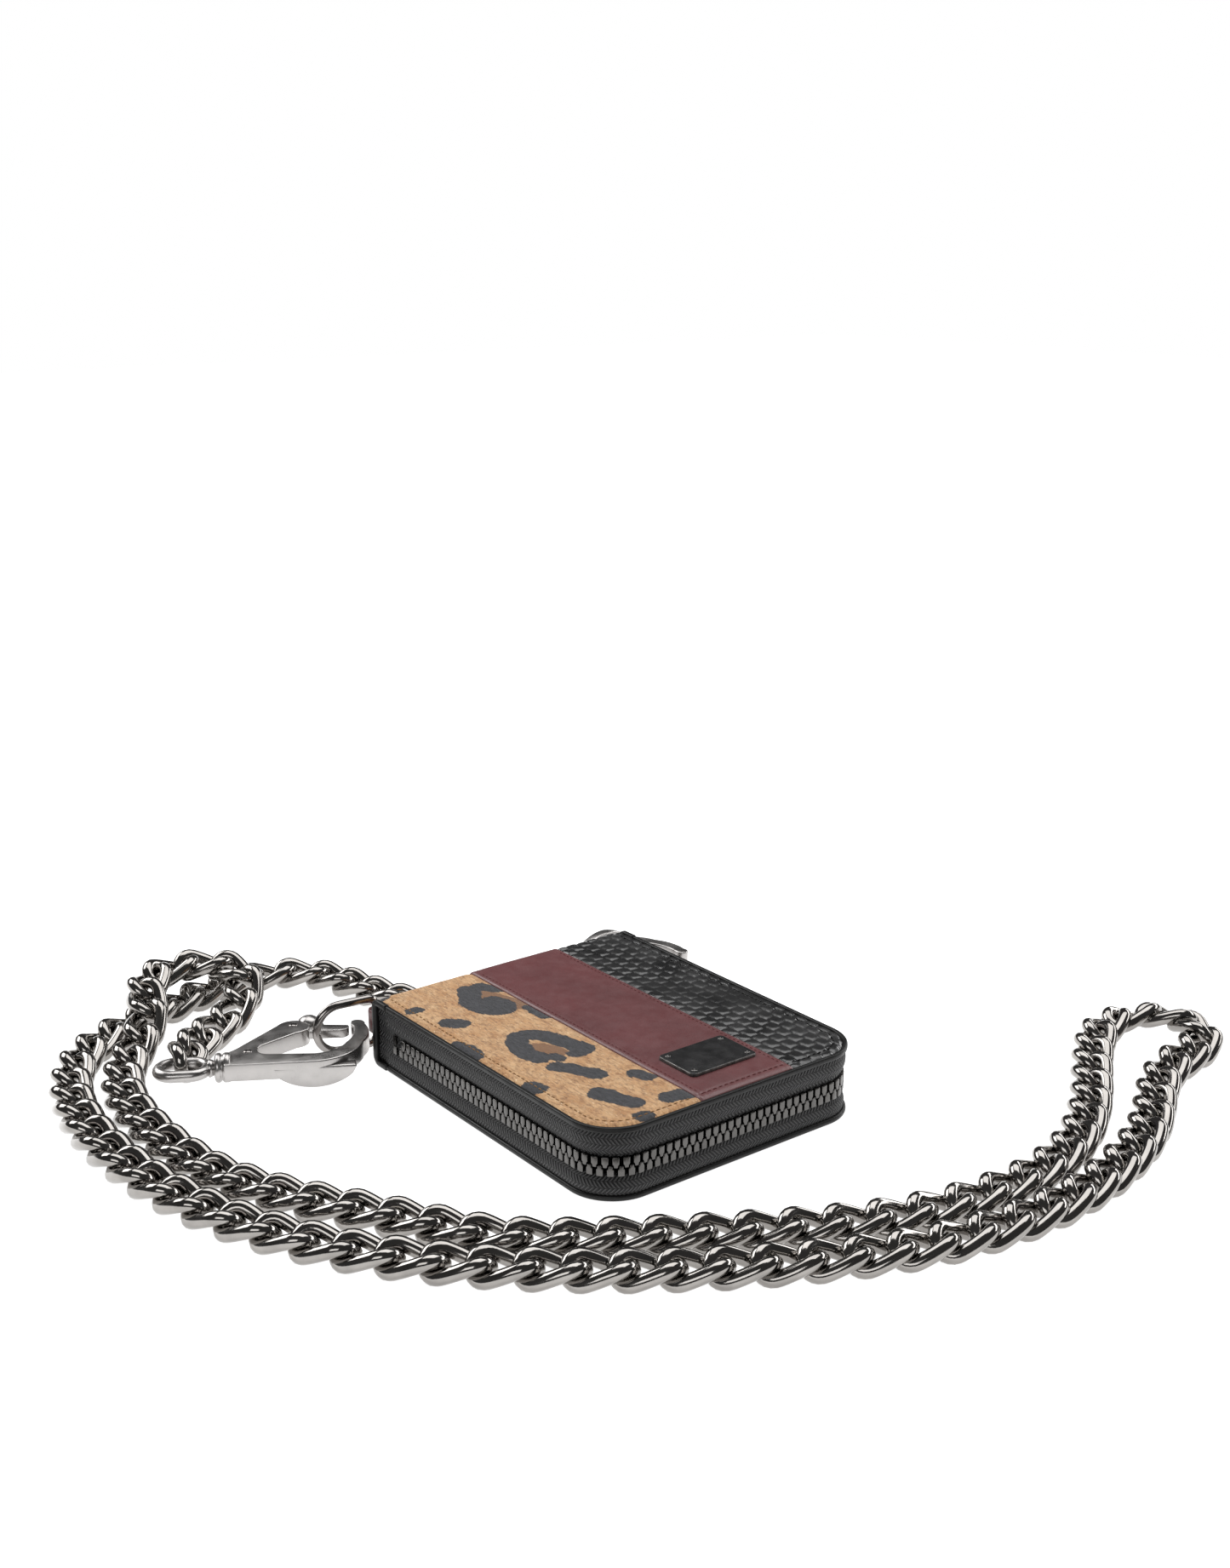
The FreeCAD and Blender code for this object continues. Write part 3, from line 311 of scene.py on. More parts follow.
THREAD_TAN = woven("tan_thread", (0.36, 0.2, 0.09), 0.0002, 0.7)


def settle(made, body=None, stands_for=()):
    """Gives a piece its body and the CAD nodes it takes over from."""
    if stands_for:
        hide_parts(*stands_for)
    if body:
        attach(made, body)
    return made


def shell(name, verts, faces, material, outward=False):
    """A smooth mesh from points in millimetres; outward turns every face to the outside."""
    mesh = bpy.data.meshes.new(name)
    mesh.from_pydata([tuple(float(c) * MM for c in v) for v in verts], [], [tuple(f) for f in faces])
    mesh.update()
    if outward:
        solid = bmesh.new()
        solid.from_mesh(mesh)
        bmesh.ops.recalc_face_normals(solid, faces=solid.faces)
        solid.to_mesh(mesh)
        solid.free()
    return shown(name, mesh, material)


def shown(name, mesh, material):
    for polygon in mesh.polygons:
        polygon.use_smooth = True
    mesh.materials.append(material)
    made = bpy.data.objects.new(name, mesh)
    scene.collection.objects.link(made)
    return made


def piece(name, verts, faces, material, body=None, stands_for=(), outward=False):
    return settle(shell(name, verts, faces, material, outward), body, stands_for)


def attribute(obj, name, values):
    layer = obj.data.attributes.new(name, "FLOAT", "POINT")
    layer.data.foreach_set("value", np.asarray(values, dtype=np.float32))


def bend_with_spine(made):
    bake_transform(made)


def tube_faces(rings, sides, start=0, closed=False):
    """Outward faces of a tube made of rings of points; an open tube gets its two ends."""
    faces = []
    for i in range(rings if closed else rings - 1):
        p, q = start + i * sides, start + (i + 1) % rings * sides
        faces += [(p + k, p + (k + 1) % sides, q + (k + 1) % sides, q + k) for k in range(sides)]
    if not closed:
        faces.append(tuple(start + k for k in reversed(range(sides))))
        faces.append(tuple(start + (rings - 1) * sides + k for k in range(sides)))
    return faces


def slab_faces(rows, columns):
    """Faces of a slab between two equal grids of points, the second listed after the first."""
    count, faces = rows * columns, []
    for j in range(rows):
        for i in range(columns):
            a = j * columns + i
            if i < columns - 1 and j < rows - 1:
                faces.append((a, a + 1, a + columns + 1, a + columns))
                faces.append((count + a, count + a + columns, count + a + columns + 1, count + a + 1))
            if i in (0, columns - 1) and j < rows - 1:
                faces.append((a, a + columns, count + a + columns, count + a))
            if j in (0, rows - 1) and i < columns - 1:
                faces.append((a, a + 1, count + a + 1, count + a))
    return faces


def turn_point(k, sides):
    """Cosine and sine of the k-th of so many equal steps round a circle."""
    angle = 2 * math.pi * k / sides
    return math.cos(angle), math.sin(angle)


def squared(value, power):
    """Pushes a cosine or sine outwards, so that a circle becomes a rounded square."""
    return math.copysign(abs(value) ** power, value)


def closed_tube(centres, radius, sides):
    """Vertices and faces of a round wire along a closed path."""
    middle = sum(centres, Vector()) / len(centres)
    verts = []
    for i, centre in enumerate(centres):
        tangent = (centres[(i + 1) % len(centres)] - centres[i - 1]).normalized()
        side = (centre - middle) - tangent * (centre - middle).dot(tangent)
        side.normalize()
        up = tangent.cross(side)
        for k in range(sides):
            c, s = turn_point(k, sides)
            verts.append(centre + side * (radius * c) + up * (radius * s))
    return verts, tube_faces(len(centres), sides, closed=True)


def rounded_polygon(points, radii, steps=8):
    """Points of a closed outline whose corners are arcs."""
    made = []
    for i, point in enumerate(points):
        here = Vector(point)
        u = Vector(points[i - 1]) - here
        v = Vector(points[(i + 1) % len(points)]) - here
        half = (math.pi - u.angle(v)) / 2
        u.normalize()
        v.normalize()
        reach = radii[i] * math.tan(half)
        centre = here + (u + v).normalized() * (radii[i] / math.cos(half))
        start, end = here + u * reach - centre, here + v * reach - centre
        for k in range(steps + 1):
            angle = 2 * half * k / steps
            part = start * math.sin(2 * half - angle) + end * math.sin(angle)
            made.append(centre + part / math.sin(2 * half))
    return made


def round_edges(obj, width, segments=3, angle=35):
    modifier = obj.modifiers.new("soft_edges", "BEVEL")
    modifier.width = width * MM
    modifier.segments = segments
    modifier.limit_method = "ANGLE"
    modifier.angle_limit = math.radians(angle)
    modifier.harden_normals = False


def bevel(obj, width, segments=3, angle=35):
    """Rounds a piece's sharp edges for good."""
    round_edges(obj, width, segments, angle)
    graph = bpy.context.evaluated_depsgraph_get()
    graph.update()
    mesh = bpy.data.meshes.new_from_object(obj.evaluated_get(graph))
    obj.modifiers.clear()
    obj.data = mesh


# ------------------------------------------------------------------ the chain
CHAIN_ROUTE = [
    (-83.6, -103.7, 6.8, 45), (-92.4, -98.4, 6.6, 42), (-100.0, -88.0, 5.6, 24), (-106.5, -75.5, 6.3, 6),
    (-116.0, -63.5, 11.2, 0), (-130.0, -62.5, 14.0, 0), (-140.0, -72.5, 14.2, 0), (-140.0, -86.5, 14.2, 0),
    (-130.0, -96.5, 13.6, 0), (-116.5, -98.5, 10.2, 0), (-107.0, -108.0, 5.4, 0), (-97.0, -117.0, 4.2, 0),
    (-85.0, -123.8, 4.2, 0), (-69.0, -128.0, 4.2, 0), (-44.0, -129.4, 4.2, 0),
    (-16.0, -126.6, 4.2, 0), (9.0, -115.5, 4.2, 0), (34.0, -98.5, 4.2, 0), (60.0, -84.0, 4.2, 0),
    (79.0, -58.0, 4.2, 0), (100.0, -24.5, 4.2, 0), (115.5, 5.0, 4.2, 0), (122.0, 32.0, 4.2, 0),
    (122.5, 57.0, 4.2, 0), (116.0, 79.0, 4.2, 0), (104.0, 99.5, 4.2, 0), (90.0, 117.0, 4.3, 0),
    (77.0, 133.5, 4.6, 0), (70.0, 147.0, 5.2, -10), (71.0, 161.0, 5.8, -20), (81.5, 170.5, 6.0, -20),
    (95.5, 168.0, 5.8, -20), (101.5, 155.0, 5.2, -10), (101.5, 138.5, 4.6, 0), (109.5, 122.5, 4.3, 0),
    (122.0, 105.0, 4.2, 0), (131.0, 84.0, 4.2, 0), (136.5, 59.0, 4.2, 0), (137.0, 33.0, 4.2, 0),
    (131.5, 3.0, 4.2, 0), (117.5, -27.5, 4.2, 0), (98.5, -58.5, 4.2, 0), (76.0, -87.0, 4.2, 0),
    (48.0, -113.5, 4.2, 0), (16.0, -132.0, 4.2, 0), (-14.0, -141.0, 4.2, 0), (-44.0, -144.0, 4.2, 0),
    (-71.0, -142.8, 4.2, 0), (-95.0, -136.5, 4.2, 0), (-112.5, -125.5, 4.2, 0), (-123.5, -110.0, 4.2, 0),
    (-129.0, -92.5, 4.2, 0), (-134.5, -77.0, 4.2, 0), (-138.5, -60.0, 4.2, 0), (-137.0, -43.5, 4.2, 0),
    (-129.5, -33.5, 4.2, 0), (-117.0, -28.5, 4.2, 0), (-103.5, -26.0, 4.2, 0), (-90.5, -22.0, 4.2, 0),
    (-80.0, -14.5, 4.6, -12), (-74.2, -4.0, 5.9, -32), (-73.2, 6.2, 6.9, -45), (-74.9, 15.8, 6.9, -45),
]
LINK_WIRE, LINK_WIDTH, LINK_PITCH, END_REACH = 4.2, 13.4, 12.0, 4.1


def spline_points(route):
    """Points of the smooth NURBS line that has the route as its control points, in millimetres."""
    data = bpy.data.curves.new("chain_line", "CURVE")
    data.dimensions = "3D"
    data.resolution_u = 24
    line = data.splines.new("NURBS")
    line.points.add(len(route) - 1)
    for point, (x, y, z, _) in zip(line.points, route):
        point.co = (x * MM, y * MM, z * MM, 1)
    line.order_u = 3
    line.use_endpoint_u = True
    holder = bpy.data.objects.new("chain_line", data)
    mesh = bpy.data.meshes.new_from_object(holder)
    points = [v.co / MM for v in mesh.vertices]
    bpy.data.objects.remove(holder)
    return points


def lengths_along(points):
    """How far each point lies along the line of points."""
    walked = [0.0]
    for a, b in zip(points, points[1:]):
        walked.append(walked[-1] + (b - a).length)
    return walked


def at_length(distance, walked, points):
    return Vector([np.interp(distance, walked, [p[c] for p in points]) for c in range(3)])


def link_centres(count=40):
    """The closed centre line of one curb link, twisted a quarter turn from end to end."""
    reach = (LINK_PITCH + 0.55 + LINK_WIRE) / 2
    side = (LINK_WIDTH - LINK_WIRE) / 2
    straight = reach - side
    half_way = 2 * straight + math.pi * side
    centres = []
    for i in range(count):
        second_half, walked = divmod((i + 0.5) / count * 2 * half_way, half_way)
        if walked < 2 * straight:
            x, y = -straight + walked, side
        else:
            angle = math.pi / 2 - (walked - 2 * straight) / side
            x, y = straight + side * math.cos(angle), side * math.sin(angle)
        if second_half:
            x, y = -x, -y
        turn = math.radians(-45) * max(-1.0, min(1.0, x / reach))
        centres.append(Vector((x, y * math.cos(turn), y * math.sin(turn))))
    return centres


def build_chain():
    line = spline_points(CHAIN_ROUTE)
    walked = lengths_along(line)
    total = walked[-1]
    rolls = []
    for x, y, z, roll in CHAIN_ROUTE:
        nearest = min(range(len(line)), key=lambda i: (line[i] - Vector((x, y, z))).length)
        rolls.append((walked[nearest], roll))
    rolls.sort()

    def at(distance):
        beyond = distance - min(max(distance, 0.0), total)
        end = (line[-1] - line[-2]) if beyond > 0 else (line[1] - line[0])
        return at_length(distance, walked, line) + end.normalized() * beyond

    count = int(round((total - 2 * END_REACH) / LINK_PITCH)) + 1
    spacing = (total - 2 * END_REACH) / (count - 1)
    link, link_faces = closed_tube(link_centres(), LINK_WIRE / 2, 12)
    verts, faces = [], []
    for i in range(count):
        distance = END_REACH + i * spacing
        behind, ahead = at(distance - spacing / 2), at(distance + spacing / 2)
        heading = (ahead - behind).normalized()
        side = UP.cross(heading).normalized()
        up = heading.cross(side)
        roll = math.radians(np.interp(distance, [r[0] for r in rolls], [r[1] for r in rolls]))
        across = side * math.cos(roll) + up * math.sin(roll)
        above = up * math.cos(roll) - side * math.sin(roll)
        start = len(verts)
        verts += [(behind + ahead) / 2 + heading * v.x + across * v.y + above * v.z for v in link]
        faces += [tuple(start + k for k in f) for f in link_faces]
    chain = piece("curb_chain", verts, faces, CHAIN_NICKEL, "wallet_base",
                  ["chain_links_%d" % (i + 1) for i in range(6)])
    print("chain spline %.1f mm, %d links, spacing %.2f" % (total, count, spacing))
    return chain, line, total


chain, chain_line, chain_length = build_chain()


# ------------------------------------------------------------------ clasps
def circle_centre(a, b, c):
    """The centre, as x and y, of the circle through three flat points."""
    aa, bb, cc = a.length_squared, b.length_squared, c.length_squared
    d = 2 * (a.x * (b.y - c.y) + b.x * (c.y - a.y) + c.x * (a.y - b.y))
    return ((aa * (b.y - c.y) + bb * (c.y - a.y) + cc * (a.y - b.y)) / d,
            (aa * (c.x - b.x) + bb * (a.x - c.x) + cc * (b.x - a.x)) / d)


def flat_outline(steps, resolution=10):
    """Outline points from a start and steps: a point for a line, a pair for an arc through one."""
    points = [Vector(steps[0]).to_2d()]
    for step in steps[1:]:
        if not isinstance(step[0], tuple):
            points.append(Vector(step))
            continue
        a, b, c = points[-1], Vector(step[0]), Vector(step[1])
        x, y = circle_centre(a, b, c)
        centre = Vector((x, y))
        start, middle, end = (math.atan2(p.y - y, p.x - x) for p in (a, b, c))
        middle, end = (middle - start) % (2 * math.pi), (end - start) % (2 * math.pi)
        if middle > end:
            end -= 2 * math.pi
        for k in range(1, resolution + 1):
            angle = start + end * k / resolution
            points.append(centre + Vector((math.cos(angle), math.sin(angle))) * (a - centre).length)
    if (points[0] - points[-1]).length < 1e-6:
        points.pop()
    return points


def plate_mesh(outline, low, high):
    """An extruded outline as a bmesh."""
    mesh = bmesh.new()
    bottom = [mesh.verts.new((p.x * MM, p.y * MM, low * MM)) for p in outline]
    top = [mesh.verts.new((p.x * MM, p.y * MM, high * MM)) for p in outline]
    mesh.faces.new(list(reversed(bottom)))
    mesh.faces.new(top)
    for i in range(len(outline)):
        j = (i + 1) % len(outline)
        mesh.faces.new((bottom[i], bottom[j], top[j], top[i]))
    mesh.normal_update()
    return mesh


def mesh_piece(name, meshes, material):
    """One object from several closed shells."""
    whole = bmesh.new()
    for part in meshes:
        temp = bpy.data.meshes.new("part")
        part.to_mesh(temp)
        whole.from_mesh(temp)
        part.free()
        bpy.data.meshes.remove(temp)
    data = bpy.data.meshes.new(name)
    whole.to_mesh(data)
    whole.free()
    return shown(name, data, material)


def round_solid(profile, centre, axis, sides=32):
    """A turned shell: profile of (distance along axis, radius) points round an axis."""
    axis = Vector(axis).normalized()
    side = axis.orthogonal().normalized()
    up = axis.cross(side)
    mesh = bmesh.new()
    rings = []
    for along, radius in profile:
        middle, ring = Vector(centre) + axis * along, []
        for k in range(sides):
            c, s = turn_point(k, sides)
            ring.append(mesh.verts.new((middle + (side * c + up * s) * max(radius, 0.02)) * MM))
        rings.append(ring)
    for a, b in zip(rings, rings[1:]):
        for k in range(sides):
            l = (k + 1) % sides
            mesh.faces.new((a[k], a[l], b[l], b[k]))
    mesh.faces.new(list(reversed(rings[0])))
    mesh.faces.new(rings[-1])
    mesh.normal_update()
    return mesh


NEAR_BAR = [(-0.5, -4.6), (14.0, -4.9), (28.0, -5.0),
            ((37.6, -0.6), (42.2, 8.5)), ((43.9, 15.5), (42.6, 22.0)),
            ((41.2, 24.9), (38.2, 24.4)), ((38.1, 22.6), (38.8, 20.0)),
            ((38.9, 14.0), (36.6, 8.2)), ((33.0, 3.2), (27.0, 1.0)),
            (12.8, 2.4), ((9.6, 4.6), (10.2, 8.8)),
            (21.0, 17.2), ((25.0, 22.4), (19.4, 27.0)),
            ((16.6, 26.0), (14.6, 23.6)), (4.0, 9.4),
            ((1.6, 6.4), (-0.5, 4.6)), (-0.5, -4.6)]


GATE_BAR = [(19.7, 20.9), (34.0, 20.6), ((36.9, 21.4), (37.2, 24.3)), (29.5, 25.6),
            ((27.4, 29.2), (23.6, 29.9)), ((20.6, 29.0), (17.6, 25.6)), ((16.7, 23.0), (19.7, 20.9))]
# Turned parts of a clasp, as (distance along the axis, radius).
COLLAR = [(-3.4, 0.0), (-3.4, 3.6), (-3.2, 4.2), (-2.7, 4.55), (-2.0, 4.6), (-1.5, 4.3), (-1.2, 3.9),
          (-0.9, 4.3), (-0.4, 4.62), (0.8, 4.62), (1.3, 4.4), (1.5, 3.9), (1.5, 0.0)]
PIN = [(-3.15, 0.0), (-3.1, 0.9), (-2.85, 1.5), (2.85, 1.5), (3.1, 0.9), (3.15, 0.0)]
THUMB = [(-1.4, 0.0), (-1.4, 2.9), (-0.8, 3.5), (1.2, 3.7), (2.6, 3.2), (3.4, 2.0), (3.75, 0.6), (3.8, 0.0)]
STEM = [(-6.0, 0.0), (-6.0, 2.0), (-5.0, 2.9), (-4.0, 2.5), (-3.3, 2.04), (-0.6, 2.04), (-0.6, 0.0)]
LEAF = [(10.6, 14.0), (11.1, 13.7), (16.0, 20.0), (15.6, 20.3)]
ALONG, ACROSS = (1, 0, 0), (0, 0, 1)


def clasp_set(prefix, place, body, eye_body, gate_body):
    """The visible pieces of one swivel clasp, built flat and then placed."""
    made = []

    def add(name, meshes, rides, nodes=(), rounding=None, material=CLASP_NICKEL):
        added = mesh_piece(prefix + "_clasp_" + name, meshes, material)
        if rounding:
            bevel(added, *rounding)
        finish(added, rides, nodes)

    def finish(added, rides, nodes):
        added.matrix_world = place
        settle(added, rides, [prefix + "_clasp_" + node for node in nodes])
        made.append(added)

    add("frame", [plate_mesh(flat_outline(NEAR_BAR), -2.8, 2.8)], body, ["body"], (0.9, 4, 40))
    keel_line = [Vector((14.2 + 25.6 * k / 24, -6.25 * math.sin(math.pi * (k / 24)) ** 0.55))
                 for k in range(25)]
    keel = plate_mesh(keel_line + [Vector((39.8, 0.8)), Vector((14.2, 0.8))], -1.9, 1.9)
    keel.transform(Matrix(((1, 0, 0, 0), (0, 0, -1, -3.05 * MM), (0, 1, 0, 0), (0, 0, 0, 1))))
    add("keel", [keel], body, rounding=(1.1, 4, 30))
    add("collar", [round_solid(COLLAR, (0, 0, 0), ALONG, 40)], body)
    add("rivets", [round_solid(PIN, (x, y, 0), ACROSS, 24) for x, y in ((19.7, 23.3), (6.3, 4.9))], body,
        ["gate_pin", "body_rivet"], material=DARK_NICKEL)
    add("gate_arm", [plate_mesh(flat_outline(GATE_BAR), -1.45, 1.45)], gate_body, ["gate"], (0.6, 3, 40))
    add("thumb", [round_solid(THUMB, (24.6, 27.6, 0), ACROSS, 32)], gate_body)
    side = 4.75
    loop = rounded_polygon([(-5.8, -side, 0), (-5.8, side, 0), (-20.5, side, 0), (-20.5, -side, 0)],
                           [side - 0.01] * 4, 14)
    finish(shell(prefix + "_clasp_eye_loop", *closed_tube(loop, 1.85, 16), CLASP_NICKEL), eye_body, ["eye"])
    add("stem", [round_solid(STEM, (0, 0, 0), ALONG, 28)], eye_body)
    add("leaf", [plate_mesh([Vector(p) for p in LEAF], -1.1, 1.1)], body, ["spring"], material=SPRING_STEEL)
    return made


def placed(x, y, z, *turns):
    """A matrix from a place in millimetres and (angle, axis) turns, outermost first."""
    matrix = Matrix.Translation(Vector((x, y, z)) * MM)
    for angle, axis in turns:
        matrix = matrix @ Matrix.Rotation(math.radians(angle), 4, axis)
    return matrix


clasp_set("wallet", placed(-72.8, -94.4, 6.45, (60, "Z")), "wallet_base", "wallet_clasp_eye",
          "wallet_clasp_gate")
belt_clasp = clasp_set("belt", placed(-78.5, 36.0, 5.7, (100, "Z"), (3.6, "Y"), (180, "X")),
                       "belt_clasp_body", "wallet_base", "belt_clasp_gate")

# ------------------------------------------------------------------ ring and tab
ring_loop = rounded_polygon([(0, 0, 1.7), (20.6, 0, 1.7), (20.6, 0, 17.3), (0, 0, 17.3)],
                            [3.0, 7.79, 7.79, 3.0], 14)
ring = shell("wallet_d_ring", *closed_tube(ring_loop, 1.35, 18), DARK_NICKEL)
ring.matrix_world = placed(-70.0, -42.5, 0, (-97, "Z"))
settle(ring, "wallet_ring", ["wallet_ring"])


def ring_tab(thick=1.15, tall=7.8, sides=16):
    """The rounded strap that leaves the spine, goes round the ring's straight side and comes back."""
    line = [Vector((x, -40.45 if x == -64 else -40.5, 9.5)) for x in (-60.3, -64, -67.5)]
    for k in range(13):
        angle = math.pi / 2 + math.pi * k / 12
        line.append(Vector((-70 + 2.05 * math.cos(angle), -42.5 + 2.05 * math.sin(angle), 9.5)))
    line += [Vector((x, -44.5, 9.5)) for x in (-67.5, -64, -60.3)]
    verts = []
    for i, point in enumerate(line):
        tangent = (line[min(i + 1, len(line) - 1)] - line[max(i - 1, 0)]).normalized()
        side = UP.cross(tangent).normalized()
        up = tangent.cross(side)
        for k in range(sides):
            c, s = turn_point(k, sides)
            verts.append(point + side * (squared(c, 0.5) * thick / 2) + up * (squared(s, 0.35) * tall / 2))
    piece("ring_tab_strap", verts, tube_faces(len(line), sides), BURGUNDY, "wallet_base", ["ring_tab"])


ring_tab()

# ------------------------------------------------------------------ the wallet's outline
LENGTH, DEPTH, HEIGHT, CORNER = 120.0, 100.0, 22.0, 15.0


def outline_path(start=-52.0, step=0.7):
    """The wallet's open sides as (place, outward, distance), from the near side round to the far side."""
    straight, side = LENGTH / 2 - CORNER - start, DEPTH - 2 * CORNER
    arc = math.pi / 2 * CORNER
    path = []
    for k in range(int(straight / step)):
        x = start + straight * k / int(straight / step)
        path.append((Vector((x, -DEPTH / 2, 0)), Vector((0, -1, 0)), x - start))
    centre = Vector((LENGTH / 2 - CORNER, -side / 2, 0))
    for k in range(33):
        angle = -math.pi / 2 + math.pi / 2 * k / 32
        outward = Vector((math.cos(angle), math.sin(angle), 0))
        path.append((centre + outward * CORNER, outward, straight + arc * k / 32))
    for k in range(1, int(side / step)):
        y = -side / 2 + side * k / int(side / step)
        path.append((Vector((LENGTH / 2, y, 0)), Vector((1, 0, 0)), straight + arc + y + side / 2))
    whole = straight * 2 + arc * 2 + side
    near = [p for p in path if p[0].y < 0]
    return near + [(Vector((p.x, -p.y, 0)), Vector((o.x, -o.y, 0)), whole - d) for p, o, d in reversed(near)]


PATH = outline_path()


def at_distance(distance, inset):
    """The place and outward direction at a distance along a line that runs inset from the outline."""
    r = CORNER - inset
    west = -46.0
    straight, side, arc = LENGTH / 2 - CORNER - west, DEPTH - 2 * CORNER, math.pi / 2 * r
    x0, y0 = LENGTH / 2 - CORNER, side / 2
    if distance < straight:
        return Vector((west + distance, -y0 - r, 0)), Vector((0, -1, 0))
    distance -= straight
    if distance < arc:
        outward = Vector((math.sin(distance / r), -math.cos(distance / r), 0))
        return Vector((x0, -y0, 0)) + outward * r, outward
    distance -= arc
    if distance < side:
        return Vector((x0 + r, -y0 + distance, 0)), Vector((1, 0, 0))
    distance -= side
    if distance < arc:
        outward = Vector((math.cos(distance / r), math.sin(distance / r), 0))
        return Vector((x0, y0, 0)) + outward * r, outward
    return Vector((x0 - (distance - arc), y0 + r, 0)), Vector((0, 1, 0))


def edge_strip(name, section, material, body, node, attributes=False):
    """A closed section of (inset, height) points carried round the three open sides."""
    verts, along, across = [], [], []
    for place, outward, distance in PATH:
        run, before = 0.0, None
        profile = section(place)
        for inset, height in profile:
            if before:
                run += math.hypot(inset - before[0], height - before[1])
            before = inset, height
            verts.append(place - outward * inset + UP * height)
            along.append(distance)
            across.append(run)
    made = piece(name, verts, tube_faces(len(PATH), len(profile)), material, body, [node], outward=True)
    if attributes:
        attribute(made, "along", along)
        attribute(made, "across", across)


def rounded_section(inset, low, high, half, power=3.2, sides=20):
    """A rounded band's section: a superellipse round (inset, middle)."""
    points = []
    for k in range(sides):
        c, s = turn_point(k, sides)
        points.append((inset - half * squared(c, 2 / power),
                       (low + high) / 2 + (high - low) / 2 * squared(s, 2 / power)))
    return points


def corner_swell(place):
    """1 at the near front corner, fading along both sides."""
    return math.exp(-(math.hypot(place.x - 52, place.y + 42) / 30) ** 2)


def upper_tape(place):
    points = []
    for k in range(15):
        t = k / 14
        points.append((1.3 + 0.95 * t ** 2 - 0.8 * math.sin(math.pi * t) ** 1.1, 20.65 - 8.0 * t))
    return points + [(3.3, 12.65), (3.1, 16.0), (2.9, 19.75), (2.2, 20.6)]


def lower_tape(place):
    swell = 1.0 + 0.7 * corner_swell(place)
    points = []
    for k in range(17):
        t = k / 16
        inset = 2.25 - 0.75 * t - swell * math.sin(math.pi * min(1.0, t * 0.92)) ** 1.1
        points.append((inset, 7.35 - 6.1 * t))
    return points + [(3.1, 1.3), (3.2, 4.5), (3.4, 7.35)]


edge_strip("upper_edge_paint", lambda p: rounded_section(0.95, 20.3, 22.1, 0.72), EDGE_PAINT, "upper_cover",
           "upper_edge_binding")
edge_strip("lower_edge_paint", lambda p: rounded_section(0.95 - 0.1 * corner_swell(p), 0.02, 1.75, 0.8, 2.4),
           EDGE_PAINT, "wallet_base", "lower_edge_binding")
edge_strip("zip_tape_top", upper_tape, ZIP_WEAVE, "upper_cover", "zip_tape_upper", True)
edge_strip("zip_tape_bottom", lower_tape, ZIP_WEAVE, "wallet_base", "zip_tape_lower", True)


def tooth_shape(side):
    """One moulded tooth: a clamp on the tape and a narrow head that meets the other row."""
    outline = [(-0.96, 2.5), (0.96, 2.5), (0.96, 0.35), (0.62, 0.0), (0.55, -0.75), (-0.55, -0.75),
               (-0.62, 0.0), (-0.96, 0.35)]
    mesh = bmesh.new()
    front = [mesh.verts.new((x, -1.05, z * side)) for x, z in outline]
    back = [mesh.verts.new((x, 1.05, z * side)) for x, z in outline]
    mesh.faces.new(front)
    mesh.faces.new(list(reversed(back)))
    for i in range(len(outline)):
        j = (i + 1) % len(outline)
        mesh.faces.new((front[j], front[i], back[i], back[j]))
    bmesh.ops.recalc_face_normals(mesh, faces=mesh.faces)
    bmesh.ops.bevel(mesh, geom=list(mesh.edges), offset=0.24, segments=2, profile=0.6, affect="EDGES")
    mesh.verts.ensure_lookup_table()
    verts = [v.co.copy() for v in mesh.verts]
    faces = [[v.index for v in f.verts] for f in mesh.faces]
    mesh.free()
    return verts, faces


def tooth_line(name, side, body, node, teeth=103, pitch=2.8):
    shape, shape_faces = tooth_shape(side)
    verts, faces = [], []
    for i in range(teeth):
        place, outward = at_distance(pitch * (i + 0.5 + (0.5 if side > 0 else 0)), 2.2)
        tangent = Vector((-outward.y, outward.x, 0))
        start = len(verts)
        verts += [place + tangent * v.x - outward * (v.y - 0.1) + UP * (10 + side * 0.42 + v.z) for v in shape]
        faces += [[start + k for k in f] for f in shape_faces]
    piece(name, verts, faces, TOOTH_METAL, body, [node])


tooth_line("zip_tooth_row_lower", -1, "wallet_base", "zip_teeth_lower")
tooth_line("zip_tooth_row_upper", 1, "upper_cover", "zip_teeth_upper")


# ------------------------------------------------------------------ the striped skin
def outline_depth(x, y):
    """How far a point of the cover lies inside the skin's outline."""
    px, py = x - 45.0, abs(y) - 35.0
    return 13.4 - (math.hypot(px, py) if px > 0 and py > 0 else max(px, py))


def east_end(y):
    over = abs(y) - 35.0
    return 45.0 + (math.sqrt(max(13.4 ** 2 - over ** 2, 0.0)) if over > 0 else 13.4)


def round_spine(t):
    """Place and outward direction, as x and z, at a distance past x = -57 round the spine's outside."""
    r, arc, side = 3.0, math.pi * 1.5, HEIGHT - 6.0
    if t <= 0:
        return -57 - t, HEIGHT, 0.0, 1.0
    if t <= arc:
        a = t / r
        return -57 - r * math.sin(a), HEIGHT - r + r * math.cos(a), -math.sin(a), math.cos(a)
    if t <= arc + side:
        return -60.0, HEIGHT - r - (t - arc), -1.0, 0.0
    if t <= 2 * arc + side:
        a = (t - arc - side) / r
        return -57 - r * math.cos(a), r - r * math.sin(a), -math.cos(a), -math.sin(a)
    return -57 + (t - 2 * arc - side), 0.0, 0.0, -1.0


WRAP = 2 * math.pi * 1.5 + 16.0 + 4.5


def gauss(value, width):
    return math.exp(-(value / width) ** 2)


